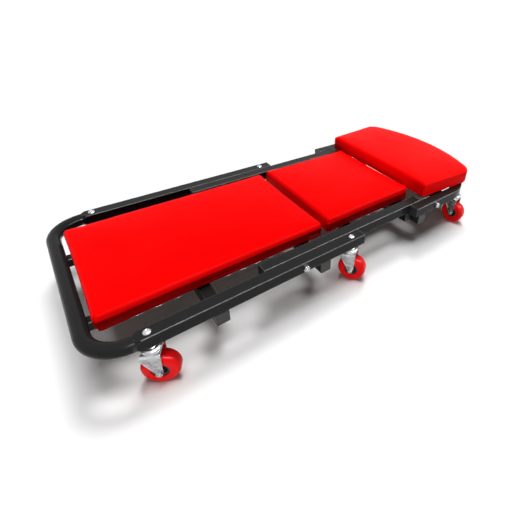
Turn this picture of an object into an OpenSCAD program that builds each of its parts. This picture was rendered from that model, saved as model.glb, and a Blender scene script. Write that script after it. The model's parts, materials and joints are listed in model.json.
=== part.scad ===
// Folding creeper seat: a three-part steel frame on six swivel casters, with three
// padded boards. Flat, it is a creeper for lying on. Folded at its two hinges, it is a
// low seat. Millimetres, +X towards the head end, +Y to the left, +Z up.
// The origin is on the floor, midway along the length and midway across.

/* [Overall] */
// Foot tube's outer face to the first hinge
foot_reach = 386.5; // [375:0.5:400]
// First hinge to the second hinge
hinge_span = 419; // [405:1:440]
// Second hinge to the head edge of the head pad
head_reach = 210.5; // [204:0.5:222]
// Width over the outer rails
frame_w = 432; // [420:1:450]
// Floor to the rails' undersides, the height of a caster
caster_h = 88.9; // [87:0.1:96]

/* [Tubes] */
// Side of the square tubes and diameter of the foot tube
tube = 25.4; // [24:0.1:27]
// Side of the small tubes under the pads
small_tube = 19; // [16:0.5:20]
// Wall of every tube
wall = 1.6; // [1.2:0.1:2.2]
// Outer radius of a square tube's corners
corner_r = 2.2; // [1.8:0.1:3]
// Gap between an outer rail and the rail that turns inside it
rail_gap = 1; // [0.6:0.1:2]
// Centreline radius of the foot tube's bends
foot_bend_r = 60; // [50:1:75]
// Centreline radius of the head frame's bends
head_bend_r = 105; // [95:1:115]
// Length over which a base rail turns from round to square
swage_l = 11; // [8:1:16]
// Flange of a plastic end plug
plug_flange = 2; // [1.5:0.1:3]
// Depth of a plug inside its tube
plug_depth = 12; // [8:1:18]

/* [Frame] */
// First hinge to the head ends of the base rails
base_lap = 162; // [155:1:170]
// A turning rail's tail, behind its hinge
tail_l = 78; // [72:1:84]
// Hinge to the near face of the stop tube below it
stop_reach = 40; // [38:0.5:44]
// Foot tube's outer face to the base's foot cross tube
foot_bar_reach = 197; // [185:1:215]
// Middle of the frame to each lengthwise tube under the back pad
pad_bar_y = 97; // [80:1:110]
// First hinge to the foot cross tube of the middle part
middle_bar_reach = 170; // [166:1:190]
// Stop tube to the small cross tube beside it
bar_gap = 1; // [0.5:0.1:2]
// Second hinge to the head frame's cross tube
head_bar_reach = 29.4; // [27:0.2:34]
// Head edge of the head pad to the head frame
head_frame_inset = 18; // [12:1:24]
// Thickness of the rubber strips under the head pad
strip_t = 1.5; // [1.2:0.1:2.5]
// Thickness of the rest strips on the middle rails
rest_strip_t = 1; // [0.6:0.1:1.1]
// Length of the rest strips
rest_strip_l = 35; // [25:1:40]

/* [Pads] */
// Width of the back pad and the middle pad
pad_w = 281; // [260:1:290]
// Foot tube to the foot edge of the back pad
back_pad_gap = 6.4; // [5:0.2:12]
// First hinge to the foot edge of the middle pad
middle_pad_reach = 115.7; // [112:0.5:125]
// Head edge of the back pad to the middle pad
pad_gap = 16.5; // [13:0.5:22]
// Head edge of the middle pad to the head pad
head_pad_gap = 8.8; // [6:0.2:14]
// Foot edge of the head pad, behind the second hinge
head_pad_lap = 23.6; // [20:0.2:26]
// Width of the head pad at its foot edge
head_pad_foot_w = 374; // [360:1:380]
// Greatest width of the head pad
head_pad_w = 402; // [394:1:410]
// Radius of the head pad's curved head edge
head_pad_arc_r = 420; // [380:5:500]
// Height of the back pad at its middle
back_pad_h = 42; // [36:0.5:48]
// Height of the middle pad at its middle
middle_pad_h = 44.5; // [38:0.5:50]
// Height of the head pad at its middle
head_pad_h = 43; // [38:0.5:50]
// Rise of a pad's crown over its edges
crown = 3; // [2:0.5:6]
// Depth that a pad's sides are drawn in between its corners
side_sag = 1.5; // [0:0.5:4]
// Corner radius of the back pad and the middle pad, seen from above
pad_corner_r = 4; // [3:0.5:12]
// Radius of the head pad's corners at its foot edge
head_foot_corner_r = 5; // [3:0.5:16]
// Rounding of the back pad's and head pad's top edge
pad_round = 8; // [5:0.5:14]
// Rounding of the middle pad's top edge
middle_pad_round = 5; // [4:0.5:12]
// Thickness of the plywood boards
board_t = 9; // [6:0.5:12]
// Width of the cover that is wrapped round a board's edge
wrap_w = 7; // [5:0.5:12]

/* [Pivots and fasteners] */
// Diameter of the pivot bolts, the casters' pins and the screws that hold them
bolt_d = 8; // [7:0.5:10]
// Width across flats of their nuts and heads
nut_af = 13; // [12:0.5:15]
// Height of a nut
nut_h = 6.5; // [5:0.5:8]
// Height of a bolt head
bolt_head_h = 5.5; // [4:0.5:7]
// Diameter of the round head of a caster's screw
button_d = 14; // [12:0.5:18]
// Height of that head
button_h = 4.4; // [3.5:0.1:5]
// Width across flats of the key's socket in it
socket_af = 5; // [4:0.5:6]
// Diameter of the washer between two rails
washer_d = 18; // [15:0.5:22]
// Outer diameter of the bush in a turning rail
bush_d = 14; // [12:0.5:18]
// Diameter of the pad screws
screw_d = 6; // [4:0.5:7]
// Diameter of a pad screw's head
screw_head_d = 12; // [10:0.5:14]
// Height of a pad screw's head
screw_head_h = 3.5; // [2.5:0.5:5]
// Pad screws from the middle of the frame
screw_y = 75; // [60:1:90]

/* [Casters] */
// Wheel diameter
wheel_d = 63.5; // [60:0.5:64]
// Width of the tread
tread_w = 26; // [22:0.5:27]
// Rounding of the tread's shoulders
tread_round = 8; // [5:0.5:10]
// Diameter of the hub under the tread
hub_d = 30; // [28:0.5:36]
// Swivel axis to the axle
trail = 8; // [7:0.5:11]
// Foot tube's outer face to the foot casters
foot_caster_reach = 93.5; // [90:0.5:105]
// First hinge to the middle casters
middle_caster_reach = 131.8; // [126:0.2:138]
// Second hinge to the head casters
head_caster_reach = 117; // [112:0.5:121]
// Heading of the foot casters' trail, outward from +X
foot_heading = 30; // [0:1:90]
// Heading of the middle casters' trail
middle_heading = 56; // [0:1:90]
// Heading of the head casters' trail
head_heading = 80; // [0:1:90]
// Thickness of the fork's plate
fork_t = 2.5; // [2:0.1:3]
// Clear width inside the fork
fork_gap = 30; // [28:0.5:32]
// Length of the fork's crown
fork_l = 35; // [33:1:40]
// Radius of a fork leg round the axle
leg_r = 6; // [5.5:0.5:8]
// Diameter of the swivel's upper cup
cup_d = 36; // [34:0.5:42]
// Diameter of the axle
axle_d = 6; // [5:0.5:8]
// Width across flats of the axle's head and nut
axle_af = 10; // [9:0.5:13]
// Height of the axle's head and nut
axle_head_h = 4; // [3.5:0.5:6]

/* [Clearances] */
// Radial clearance of a bush on its pivot bolt, a fork on its pin and a hub on its axle
run_clear = 0.06; // [0.03:0.01:0.09]
// Radial clearance of a bolt or screw in a plain hole
hole_clear = 0.2; // [0.1:0.05:0.4]
// Gap between faces that turn against each other
face_clear = 0.25; // [0.15:0.05:0.4]

/* [Hidden] */
$fn = 48;

steel_black = [0.06, 0.06, 0.065];
zinc = [0.78, 0.78, 0.8];
vinyl_red = [0.86, 0.02, 0.03];
tread_red = [0.82, 0.04, 0.05];
plastic_black = [0.03, 0.03, 0.03];
rubber_black = [0.05, 0.05, 0.05];
board_brown = [0.35, 0.25, 0.16];

// Places along the length
foot_x = -(foot_reach + hinge_span + head_reach) / 2;
hinge1_x = foot_x + foot_reach;
hinge2_x = hinge1_x + hinge_span;
head_x = hinge2_x + head_reach;
base_end_x = hinge1_x + base_lap;
swage_x = foot_x + tube / 2 + foot_bend_r;
back_pad_x0 = foot_x + tube + back_pad_gap;
middle_pad_x0 = hinge1_x + middle_pad_reach;
back_pad_x1 = middle_pad_x0 - pad_gap;
head_pad_x0 = hinge2_x - head_pad_lap;
middle_pad_x1 = head_pad_x0 - head_pad_gap;
stop1_x = hinge1_x + stop_reach;
stop2_x = hinge2_x - stop_reach - tube;
foot_bar_x = foot_x + foot_bar_reach;
middle_bar_xs = [hinge1_x + middle_bar_reach, stop2_x - bar_gap - small_tube];
head_bar_x = hinge2_x + head_bar_reach;
head_frame_x = head_x - head_frame_inset;

// Heights
rail_z0 = caster_h;
rail_z1 = rail_z0 + tube;
pivot_z = rail_z0 + tube / 2;
bar_z0 = rail_z0 - tube;
head_pad_z0 = rail_z1 + strip_t;
axle_z = wheel_d / 2;

// Places across the width
outer_y = frame_w / 2 - tube / 2;
outer_inner_y = outer_y - tube / 2;
inner_outer_y = outer_inner_y - rail_gap;
inner_y = inner_outer_y - tube / 2;
inner_inner_y = inner_y - tube / 2;

// Head frame's bend, with the head casters' stems on its centreline
head_bend_x = head_frame_x - tube / 2 - head_bend_r;
head_bend_y = outer_y - head_bend_r;
head_caster_x = hinge2_x + head_caster_reach;
head_caster_y = head_bend_y + sqrt(pow(head_bend_r, 2) - pow(head_caster_x - head_bend_x, 2));

// Casters: stem's place and the heading of the trail
foot_left = [foot_x + foot_caster_reach, outer_y, foot_heading];
foot_right = [foot_x + foot_caster_reach, -outer_y, -foot_heading];
middle_left = [hinge1_x + middle_caster_reach, outer_y, middle_heading];
middle_right = [hinge1_x + middle_caster_reach, -outer_y, -middle_heading];
head_left = [head_caster_x, head_caster_y, head_heading];
head_right = [head_caster_x, -head_caster_y, -head_heading];
base_casters = [foot_left, foot_right, middle_left, middle_right];
head_casters = [head_left, head_right];

// Swivel's stack, down from the rail
neck_h = 2;
neck_d = bolt_d + 14;
cup_h = 6.5;
race_h = 4.5;
race_d = cup_d - 5;
cup_z0 = caster_h - neck_h - cup_h;
race_z1 = cup_z0 - face_clear;
crown_z1 = race_z1 - race_h;
crown_z0 = crown_z1 - fork_t;
rivet_d = bolt_d + 6;
rivet_h = 2.5;
screw_reach = 7;
weld_nut_h = 7;

fork_half = fork_gap / 2 + fork_t;
fork_round = 5;
hub_half = fork_gap / 2 - 2 * face_clear;
hub_boss_r = axle_d / 2 + 4;
hub_rim_t = 4;
hub_rim_half = tread_w / 2 - 1.5;
hub_web_half = 4;

// Vectors and outlines

function unit(v) = v / norm(v);

// An outline's points are each [place, outward normal, radius of the bend, sum of the bend's end normals]

function arc(c, r, a0, a1, n) = let (k = [cos(a0) + cos(a1), sin(a0) + sin(a1)])
    [for (i = [0:n]) let (a = a0 + (a1 - a0) * i / n, u = [cos(a), sin(a)]) [c + r * u, u, r, k]];

// Points between p and q, drawn in by sag
function run(p, q, sag, n) = let (u = unit(q - p), m = [u.y, -u.x])
    [for (i = [1:n - 1]) let (t = i / n) [p + t * (q - p) - 4 * sag * t * (1 - t) * m, m, 1000, [0, 0]]];

// Outline of a straight pad: four corner arcs and the drawn-in sides between them
function straight_outline(x0, x1, half, r) = let (
    a = arc([x0 + r, r - half], r, 180, 270, 5),
    b = arc([x1 - r, r - half], r, 270, 360, 5),
    c = arc([x1 - r, half - r], r, 0, 90, 5),
    d = arc([x0 + r, half - r], r, 90, 180, 5))
    concat(a, run(a[5][0], b[0][0], side_sag, 6), b, run(b[5][0], c[0][0], side_sag, 4),
        c, run(c[5][0], d[0][0], side_sag, 6), d, run(d[5][0], a[0][0], side_sag, 4));

// Outline of the head pad: flared sides and a head edge that is one wide arc
head_corner_r = 40;
head_arc_x = head_x - head_pad_arc_r;
head_corner_y = head_pad_w / 2 - head_corner_r;
head_corner_a = asin(head_corner_y / (head_pad_arc_r - head_corner_r));
head_corner_x = head_arc_x + (head_pad_arc_r - head_corner_r) * cos(head_corner_a);
head_outline = let (
    r0 = head_foot_corner_r,
    half = head_pad_foot_w / 2,
    a = arc([head_pad_x0 + r0, r0 - half], r0, 180, 270, 5),
    b = arc([head_corner_x, -head_corner_y], head_corner_r, 270, 360 - head_corner_a, 6),
    c = arc([head_arc_x, 0], head_pad_arc_r, -head_corner_a, head_corner_a, 10),
    d = arc([head_corner_x, head_corner_y], head_corner_r, head_corner_a, 90, 6),
    e = arc([head_pad_x0 + r0, half - r0], r0, 90, 180, 5))
    concat(a, run(a[5][0], b[0][0], 0, 4), b, [for (i = [1:9]) c[i]], d,
        run(d[6][0], e[0][0], 0, 4), e, run(e[5][0], a[0][0], side_sag, 6));

back_outline = straight_outline(back_pad_x0, back_pad_x1, pad_w / 2, pad_corner_r);
middle_outline = straight_outline(middle_pad_x0, middle_pad_x1, pad_w / 2, pad_corner_r);

// An outline moved inwards, with bends that keep a radius of 1.5
function inset(outline, d) = [for (p = outline) let (over = max(0, d - p[2] + 1.5))
    p[0] - (d - over) * p[1] - over * p[3]];

// Cushions

// A cushion's rings, from its underside to its crown: each is [inset, height, scale]
function cushion_rings(h, r) = concat(
    [[3, 0, 1], [0.8, 3, 1], [0, 8, 1], [0, h - crown - r, 1]],
    [for (i = [1:5]) let (a = 18 * i) [r * (1 - cos(a)), h - crown - r * (1 - sin(a)), 1]],
    [for (s = [0.9, 0.75, 0.5, 0.25]) [r, h - crown * pow(s, 3), s]]);

module cushion(outline, h, r, z0) {
    n = len(outline);
    mid = [(min([for (p = outline) p[0].x]) + max([for (p = outline) p[0].x])) / 2, 0];
    rings = cushion_rings(h, r);
    last = len(rings) - 1;
    points = concat(
        [for (k = rings, p = inset(outline, k[0])) let (q = mid + k[2] * (p - mid)) [q.x, q.y, z0 + k[1]]],
        [[mid.x, mid.y, z0], [mid.x, mid.y, z0 + h]]);
    sides = [for (k = [0:last - 1], i = [0:n - 1]) let (a = k * n + i, b = k * n + (i + 1) % n)
        each [[a, a + n, b], [b, a + n, b + n]]];
    base = [for (i = [0:n - 1]) [i, (i + 1) % n, n * (last + 1)]];
    top = [for (i = [0:n - 1]) [last * n + (i + 1) % n, last * n + i, n * (last + 1) + 1]];
    polyhedron(points, concat(sides, base, top));
}

// Cushion with the pocket that its board sits in
module pad_cushion(outline, h, r, z0) {
    color(vinyl_red) difference() {
        cushion(outline, h, r, z0);
        translate([0, 0, z0 - 1]) linear_extrude(board_t + 1) polygon(inset(outline, wrap_w));
    }
}

module pad_board(outline, z0, screws) {
    color(board_brown) difference() {
        translate([0, 0, z0]) linear_extrude(board_t) polygon(inset(outline, wrap_w + hole_clear));
        for (p = screws) translate([p.x, p.y, z0 - 1])
            cylinder(d = screw_d + 2 * hole_clear, h = board_t);
    }
}

// Tubes

// Outline of a square tube, with round corners
module section(side, height) {
    square([side - 2 * corner_r, height], center = true);
    square([side, height - 2 * corner_r], center = true);
    for (x = [-1, 1], y = [-1, 1]) translate([x * (side / 2 - corner_r), y * (height / 2 - corner_r)])
        circle(r = corner_r);
}

module hollow_section(side, height) {
    difference() {
        section(side, height);
        square([side - 2 * wall, height - 2 * wall], center = true);
    }
}

// Square tube along X, open at both ends
module tube_x(x0, x1, y, z0, side, height) {
    translate([x0, y, z0 + height / 2]) rotate([90, 0, 90]) linear_extrude(x1 - x0)
        hollow_section(side, height);
}

// Tube across the frame, from -half to half
module tube_y(x0, half, z0, side, height) {
    translate([x0 + side / 2, half, z0 + height / 2]) rotate([90, 0, 0]) linear_extrude(2 * half)
        hollow_section(side, height);
}

// Bent tube of a U, with its legs along X: the child is the section
module bent_tube(x_mid, half, r, leg_x) {
    out = x_mid < leg_x ? -1 : 1;
    bend_x = x_mid - out * r;
    for (s = [-1, 1]) {
        translate([bend_x, s * (half - r), 0]) rotate([0, 0, out > 0 ? (s > 0 ? 0 : -90) : (s > 0 ? 90 : 180)])
            rotate_extrude(angle = 90, $fn = 96) translate([r, 0]) children();
        translate([min(bend_x, leg_x), s * half, 0]) rotate([90, 0, 90])
            linear_extrude(abs(leg_x - bend_x)) children();
    }
    translate([x_mid, half - r, 0]) rotate([90, 0, 0]) linear_extrude(2 * (half - r)) children();
}

// Plastic plug in a tube's end: the tube's end face is at the origin, facing +X
module plug(side, height) {
    fit = hole_clear;
    rotate([90, 0, 90]) linear_extrude(plug_flange) section(side, height);
    translate([-plug_depth, wall + fit - side / 2, wall + fit - height / 2])
        cube([plug_depth + 0.5, side - 2 * wall - 2 * fit, height - 2 * wall - 2 * fit]);
}

module plug_pair(x0, half, z0, side, height) {
    for (s = [-1, 1]) translate([x0 + side / 2, s * half, z0 + height / 2]) rotate([0, 0, 90 * s])
        plug(side, height);
}

// Fasteners

module bore_y(x, y, z, d, l) {
    translate([x, y + l / 2, z]) rotate([90, 0, 0]) cylinder(d = d, h = l);
}

module bore_z(p, z, d, l) {
    translate([p.x, p.y, z]) cylinder(d = d, h = l);
}

// Hexagon with its upper corners turned off, along +Z
module hexagon(af, h) {
    corner_d = af / cos(30);
    intersection() {
        cylinder(d = corner_d, h = h, $fn = 6);
        union() {
            cylinder(d = corner_d + 1, h = h - 1.2);
            translate([0, 0, h - 1.2]) cylinder(d1 = corner_d + 0.6, d2 = af - 1, h = 1.2);
        }
    }
}

module hex_nut(af, h, d) {
    difference() {
        hexagon(af, h);
        translate([0, 0, -1]) cylinder(d = d + 2 * run_clear, h = h + 2);
        translate([0, 0, h - 1]) cylinder(d1 = d, d2 = d + 2, h = 1.01);
    }
}

module washer(d, t) {
    difference() {
        cylinder(d = washer_d, h = t);
        translate([0, 0, -1]) cylinder(d = d + 2 * hole_clear, h = t + 2);
    }
}

// Pivot bolt on each side: head inside the turning rail, nut outside the outer rail
module pivot_bolts(x) {
    grip = tube * 2 + rail_gap + face_clear;
    color(zinc) for (s = [-1, 1]) translate([x, s * frame_w / 2, pivot_z]) rotate([-90 * s, 0, 0]) {
        translate([0, 0, -grip]) cylinder(d = bolt_d, h = grip + nut_h + 1);
        translate([0, 0, -grip]) rotate([180, 0, 0]) hexagon(nut_af, bolt_head_h);
        hex_nut(nut_af, nut_h, bolt_d);
        translate([0, 0, -tube - rail_gap + face_clear]) washer(bolt_d, rail_gap - face_clear);
    }
}

// Pad screws: heads under the tube, tips in the board
module pad_screws(points, head_z, board_z) {
    color(zinc) for (p = points) translate([p.x, p.y, head_z - screw_head_h]) {
        cylinder(d1 = screw_head_d - 1.5, d2 = screw_head_d, h = screw_head_h);
        translate([0, 0, screw_head_h]) cylinder(d = screw_d, h = board_z + board_t - 2.5 - head_z);
    }
}

back_screws = [for (x = [foot_bar_x, stop1_x], s = [-1, 1]) [x + tube / 2, s * screw_y]];
middle_screws = [for (x = middle_bar_xs, s = [-1, 1]) [x + small_tube / 2, s * screw_y]];
head_bar_screws = [for (s = [-1, 1]) [head_bar_x + tube / 2, s * screw_y]];
head_end_screws = [for (s = [-1, 1]) [head_frame_x - tube / 2, s * screw_y]];

module screw_holes(points, z, h) {
    for (p = points) bore_z(p, z, screw_d + 2 * hole_clear, h);
}

// Base

module foot_tube() {
    color(steel_black) translate([0, 0, pivot_z]) difference() {
        bent_tube(foot_x + tube / 2, outer_y, foot_bend_r, swage_x + 0.01) circle(d = tube);
        bent_tube(foot_x + tube / 2, outer_y, foot_bend_r, swage_x + 1) circle(d = tube - 2 * wall);
    }
}

// Square rail whose foot end is drawn down to the round of the foot tube
module base_rail(s) {
    casters = s > 0 ? [foot_left, middle_left] : [foot_right, middle_right];
    square_x = swage_x + swage_l;
    color(steel_black) difference() {
        union() {
            tube_x(square_x, base_end_x - plug_flange, s * outer_y, rail_z0, tube, tube);
            translate([swage_x, s * outer_y, pivot_z]) intersection() {
                rotate([90, 0, 90]) linear_extrude(swage_l) section(tube, tube);
                rotate([0, 90, 0]) cylinder(r1 = tube / 2 + 0.05, r2 = tube / sqrt(2), h = swage_l);
            }
        }
        translate([swage_x - 1, s * outer_y, pivot_z]) rotate([0, 90, 0])
            cylinder(d = tube - 2 * wall - 1, h = swage_l + 2);
        for (c = casters) bore_z(c, rail_z0 - 1, bolt_d + 2 * hole_clear, tube + 2);
        bore_y(hinge1_x, s * outer_y, pivot_z, bolt_d + 2 * hole_clear, tube + 2);
    }
}

module base_foot_cross() {
    color(steel_black) difference() {
        tube_y(foot_bar_x, frame_w / 2 - plug_flange, bar_z0, tube, tube);
        screw_holes([back_screws[0], back_screws[1]], bar_z0 - 1, tube + 2);
    }
}

module base_stop_cross() {
    color(steel_black) difference() {
        tube_y(stop1_x, frame_w / 2 - plug_flange, bar_z0, tube, tube);
        screw_holes([back_screws[2], back_screws[3]], bar_z0 - 1, tube + 2);
    }
}

// Lengthwise tubes from under the foot tube to the foot cross tube
module base_pad_bars() {
    color(steel_black) for (s = [-1, 1])
        tube_x(foot_x + tube / 2, foot_bar_x, s * pad_bar_y, rail_z0 - small_tube, small_tube, small_tube);
}

module base_plugs() {
    color(plastic_black) {
        for (s = [-1, 1]) translate([base_end_x - plug_flange, s * outer_y, pivot_z]) plug(tube, tube);
        for (x = [foot_bar_x, stop1_x]) plug_pair(x, frame_w / 2 - plug_flange, bar_z0, tube, tube);
        for (s = [-1, 1]) translate([foot_x + tube / 2, s * pad_bar_y, rail_z0 - small_tube / 2])
            rotate([0, 0, 180]) plug(small_tube, small_tube);
    }
}

module back_pad_board() {
    pad_board(back_outline, rail_z0, back_screws);
}

module back_pad_cushion() {
    pad_cushion(back_outline, back_pad_h, pad_round, rail_z0);
}

module back_pad_screws() {
    pad_screws(back_screws, bar_z0, rail_z0);
}

// Round-headed screws through the rails into the casters' necks
module base_caster_screws() {
    ball_r = (pow(button_h, 2) + pow(button_d / 2, 2)) / (2 * button_h);
    color(zinc) for (c = base_casters) translate([c.x, c.y, rail_z1]) difference() {
        union() {
            intersection() {
                translate([0, 0, button_h - ball_r]) sphere(r = ball_r);
                cylinder(d = button_d + 1, h = button_h + 1);
            }
            translate([0, 0, -tube - screw_reach]) cylinder(d = bolt_d, h = tube + screw_reach + 1);
        }
        translate([0, 0, button_h - 2.4]) cylinder(d = socket_af / cos(30), h = 3, $fn = 6);
    }
}

// Middle part

// Inner rail: a plain tail at the foot end, a half-round nose at the second hinge
module middle_rail(s) {
    x0 = hinge1_x - tail_l + plug_flange;
    color(steel_black) difference() {
        union() {
            difference() {
                union() {
                    translate([x0, s * inner_y, pivot_z]) rotate([90, 0, 90])
                        linear_extrude(hinge2_x - x0) section(tube, tube);
                    translate([hinge2_x, s * inner_y, pivot_z]) rotate([90, 0, 0]) rotate_extrude()
                        intersection() {
                            section(tube, tube);
                            translate([0, -tube]) square(2 * tube);
                        }
                }
                translate([x0 - 1, s * inner_y - tube / 2 + wall, rail_z0 + wall])
                    cube([hinge2_x - x0 + 1, tube - 2 * wall, tube - 2 * wall]);
                bore_y(hinge2_x, s * inner_y, pivot_z, tube - 2 * wall, tube - 2 * wall);
            }
            for (x = [hinge1_x, hinge2_x]) bore_y(x, s * inner_y, pivot_z, bush_d, tube);
        }
        for (x = [hinge1_x, hinge2_x]) bore_y(x, s * inner_y, pivot_z, bolt_d + 2 * run_clear, tube + 2);
    }
}

module middle_stop_cross() {
    color(steel_black) tube_y(stop2_x, frame_w / 2 - plug_flange, bar_z0, tube, tube);
}

module middle_pad_bars() {
    color(steel_black) difference() {
        for (x = middle_bar_xs) tube_y(x, inner_outer_y - plug_flange, bar_z0, small_tube, tube);
        screw_holes(middle_screws, bar_z0 - 1, tube + 2);
    }
}

module middle_plugs() {
    color(plastic_black) {
        for (s = [-1, 1]) translate([hinge1_x - tail_l + plug_flange, s * inner_y, pivot_z])
            rotate([0, 0, 180]) plug(tube, tube);
        plug_pair(stop2_x, frame_w / 2 - plug_flange, bar_z0, tube, tube);
        for (x = middle_bar_xs) plug_pair(x, inner_outer_y - plug_flange, bar_z0, small_tube, tube);
    }
}

// Thin strips on the inner rails, below the head pad's foot edge
module middle_rest_strips() {
    x1 = hinge2_x - 3;
    color(rubber_black) for (s = [-1, 1])
        translate([x1 - rest_strip_l, s * inner_y - tube / 2 + 1, rail_z1]) cube([rest_strip_l, tube - 2, rest_strip_t]);
}

module middle_pad_board() {
    pad_board(middle_outline, rail_z0, middle_screws);
}

module middle_pad_cushion() {
    pad_cushion(middle_outline, middle_pad_h, middle_pad_round, rail_z0);
}

module middle_pad_screws() {
    pad_screws(middle_screws, bar_z0, rail_z0);
}

// Head part

// Outer rails and the head end, bent from one square tube
module head_frame() {
    x0 = hinge2_x - tail_l + plug_flange;
    color(steel_black) difference() {
        translate([0, 0, pivot_z]) bent_tube(head_frame_x - tube / 2, outer_y, head_bend_r, x0)
            section(tube, tube);
        translate([0, 0, pivot_z]) bent_tube(head_frame_x - tube / 2, outer_y, head_bend_r, x0 - 1)
            square(tube - 2 * wall, center = true);
        for (s = [-1, 1]) bore_y(hinge2_x, s * outer_y, pivot_z, bolt_d + 2 * hole_clear, tube + 2);
        for (c = head_casters) bore_z(c, rail_z0 - 1, bolt_d + 2 * hole_clear, wall + 2);
        screw_holes(head_end_screws, rail_z0 - 1, tube + 2);
    }
}

module head_cross() {
    color(steel_black) difference() {
        tube_y(head_bar_x, outer_inner_y, rail_z1 - small_tube, tube, small_tube);
        screw_holes(head_bar_screws, rail_z1 - small_tube - 1, small_tube + 2);
    }
}

module head_plugs() {
    color(plastic_black) for (s = [-1, 1])
        translate([hinge2_x - tail_l + plug_flange, s * outer_y, pivot_z]) rotate([0, 0, 180]) plug(tube, tube);
}

// Rubber strips between the head frame and the head pad's board
module head_strips() {
    margin = 2.5;
    color(rubber_black) difference() {
        union() {
            translate([head_bar_x + margin, -150, rail_z1]) cube([tube - 2 * margin, 300, strip_t]);
            translate([head_frame_x - tube + margin, margin - head_bend_y, rail_z1])
                cube([tube - 2 * margin, 2 * (head_bend_y - margin), strip_t]);
        }
        screw_holes(concat(head_bar_screws, head_end_screws), rail_z1 - 1, strip_t + 2);
    }
}

module head_pad_board() {
    pad_board(head_outline, head_pad_z0, concat(head_bar_screws, head_end_screws));
}

module head_pad_cushion() {
    pad_cushion(head_outline, head_pad_h, pad_round, head_pad_z0);
}

module head_pad_screws() {
    pad_screws(head_bar_screws, rail_z1 - small_tube, head_pad_z0);
    pad_screws(head_end_screws, rail_z0, head_pad_z0);
}

module head_weld_nuts() {
    color(zinc) for (c = head_casters) translate([c.x, c.y, rail_z0 + wall]) hex_nut(nut_af, weld_nut_h, bolt_d);
}

// Casters

// Fixed part of a caster: stem, neck, upper cup, swivel pin and its rivet head
module caster_stem(c, top) {
    translate([c.x, c.y, 0]) {
        translate([0, 0, crown_z0 - face_clear]) cylinder(d = bolt_d, h = top - crown_z0 + face_clear);
        translate([0, 0, crown_z0 - face_clear - rivet_h]) cylinder(d1 = rivet_d - 3, d2 = rivet_d, h = rivet_h);
        translate([0, 0, caster_h - neck_h]) cylinder(d = neck_d, h = neck_h);
        translate([0, 0, cup_z0]) cylinder(d = cup_d, h = cup_h - 2);
        translate([0, 0, cup_z0 + cup_h - 2]) cylinder(d1 = cup_d, d2 = cup_d - 6, h = 2);
    }
}

// Casters of the base end at their necks, which are bored for the screws
module base_caster_stems() {
    color(zinc) difference() {
        for (c = base_casters) caster_stem(c, caster_h);
        for (c = base_casters) bore_z(c, caster_h - screw_reach - 0.5, bolt_d + 2 * run_clear, screw_reach + 1);
    }
}

module head_caster_stems() {
    color(zinc) for (c = head_casters) caster_stem(c, rail_z0 + wall + weld_nut_h + 3);
}

// Everything that swivels with the fork is drawn with its trail along +X
module on_caster(c) {
    translate([c.x, c.y, 0]) rotate([0, 0, c.z]) children();
}

module on_axle(c) {
    on_caster(c) translate([trail, 0, axle_z]) rotate([90, 0, 0]) children();
}

// Point where the tangent from p touches the circle round c
function touch(p, c, r, side) = let (v = p - c, a = acos(r / norm(v)), b = atan2(v.y, v.x))
    c + r * [cos(b + side * a), sin(b + side * a)];

// Side view of the fork: a wide crown that narrows to the axle
module fork_side() {
    axle = [trail, axle_z];
    back = [-fork_l / 2, crown_z1 - 9];
    front = [fork_l / 2 - 1, crown_z1 - 6];
    r = leg_r - 0.1;
    polygon([[back.x + 3, crown_z1 + 1], back, touch(back, axle, r, 1), axle,
        touch(front, axle, r, -1), front, [front.x - 2, crown_z1 + 1]]);
    translate(axle) circle(r = leg_r);
}

// End view of the fork: an upside-down U with round corners
module fork_end(half, r, top) {
    translate([-half, 0]) square([2 * half, top - r]);
    translate([r - half, 0]) square([2 * (half - r), top]);
    for (s = [-1, 1]) translate([s * (half - r), top - r]) circle(r = r);
}

module caster_fork(c) {
    color(zinc) on_caster(c) difference() {
        union() {
            intersection() {
                translate([0, fork_half + 1, 0]) rotate([90, 0, 0]) linear_extrude(2 * fork_half + 2) fork_side();
                translate([-fork_l, 0, 0]) rotate([90, 0, 90]) linear_extrude(2 * fork_l) difference() {
                    fork_end(fork_half, fork_round, crown_z1);
                    translate([0, -1]) fork_end(fork_half - fork_t, fork_round - fork_t, crown_z0 + 1);
                }
            }
            translate([0, 0, crown_z1 - 0.5]) cylinder(d1 = race_d, d2 = race_d - 2, h = race_h + 0.5);
        }
        translate([0, 0, crown_z0 - 1]) cylinder(d = bolt_d + 2 * run_clear, h = race_z1 - crown_z0 + 2);
        bore_y(trail, 0, axle_z, axle_d + 2 * hole_clear, 2 * fork_half + 2);
    }
}

module caster_axle(c) {
    color(zinc) on_axle(c) {
        translate([0, 0, -fork_half]) cylinder(d = axle_d, h = 2 * fork_half + axle_head_h + 1);
        translate([0, 0, -fork_half]) rotate([180, 0, 0]) hexagon(axle_af, axle_head_h);
        translate([0, 0, fork_half]) hex_nut(axle_af, axle_head_h, axle_d);
    }
}

// Hub: boss, web and rim turned as one
module caster_hub(c) {
    r0 = axle_d / 2 + run_clear;
    r1 = hub_d / 2 - hub_rim_t;
    color(plastic_black) on_axle(c) rotate_extrude() polygon([[r0, -hub_half], [hub_boss_r, -hub_half],
        [hub_boss_r + 1, -hub_web_half], [r1 - 1, -hub_web_half], [r1, -hub_rim_half], [hub_d / 2, -hub_rim_half],
        [hub_d / 2, hub_rim_half], [r1, hub_rim_half], [r1 - 1, hub_web_half], [hub_boss_r + 1, hub_web_half],
        [hub_boss_r, hub_half], [r0, hub_half]]);
}

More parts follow.
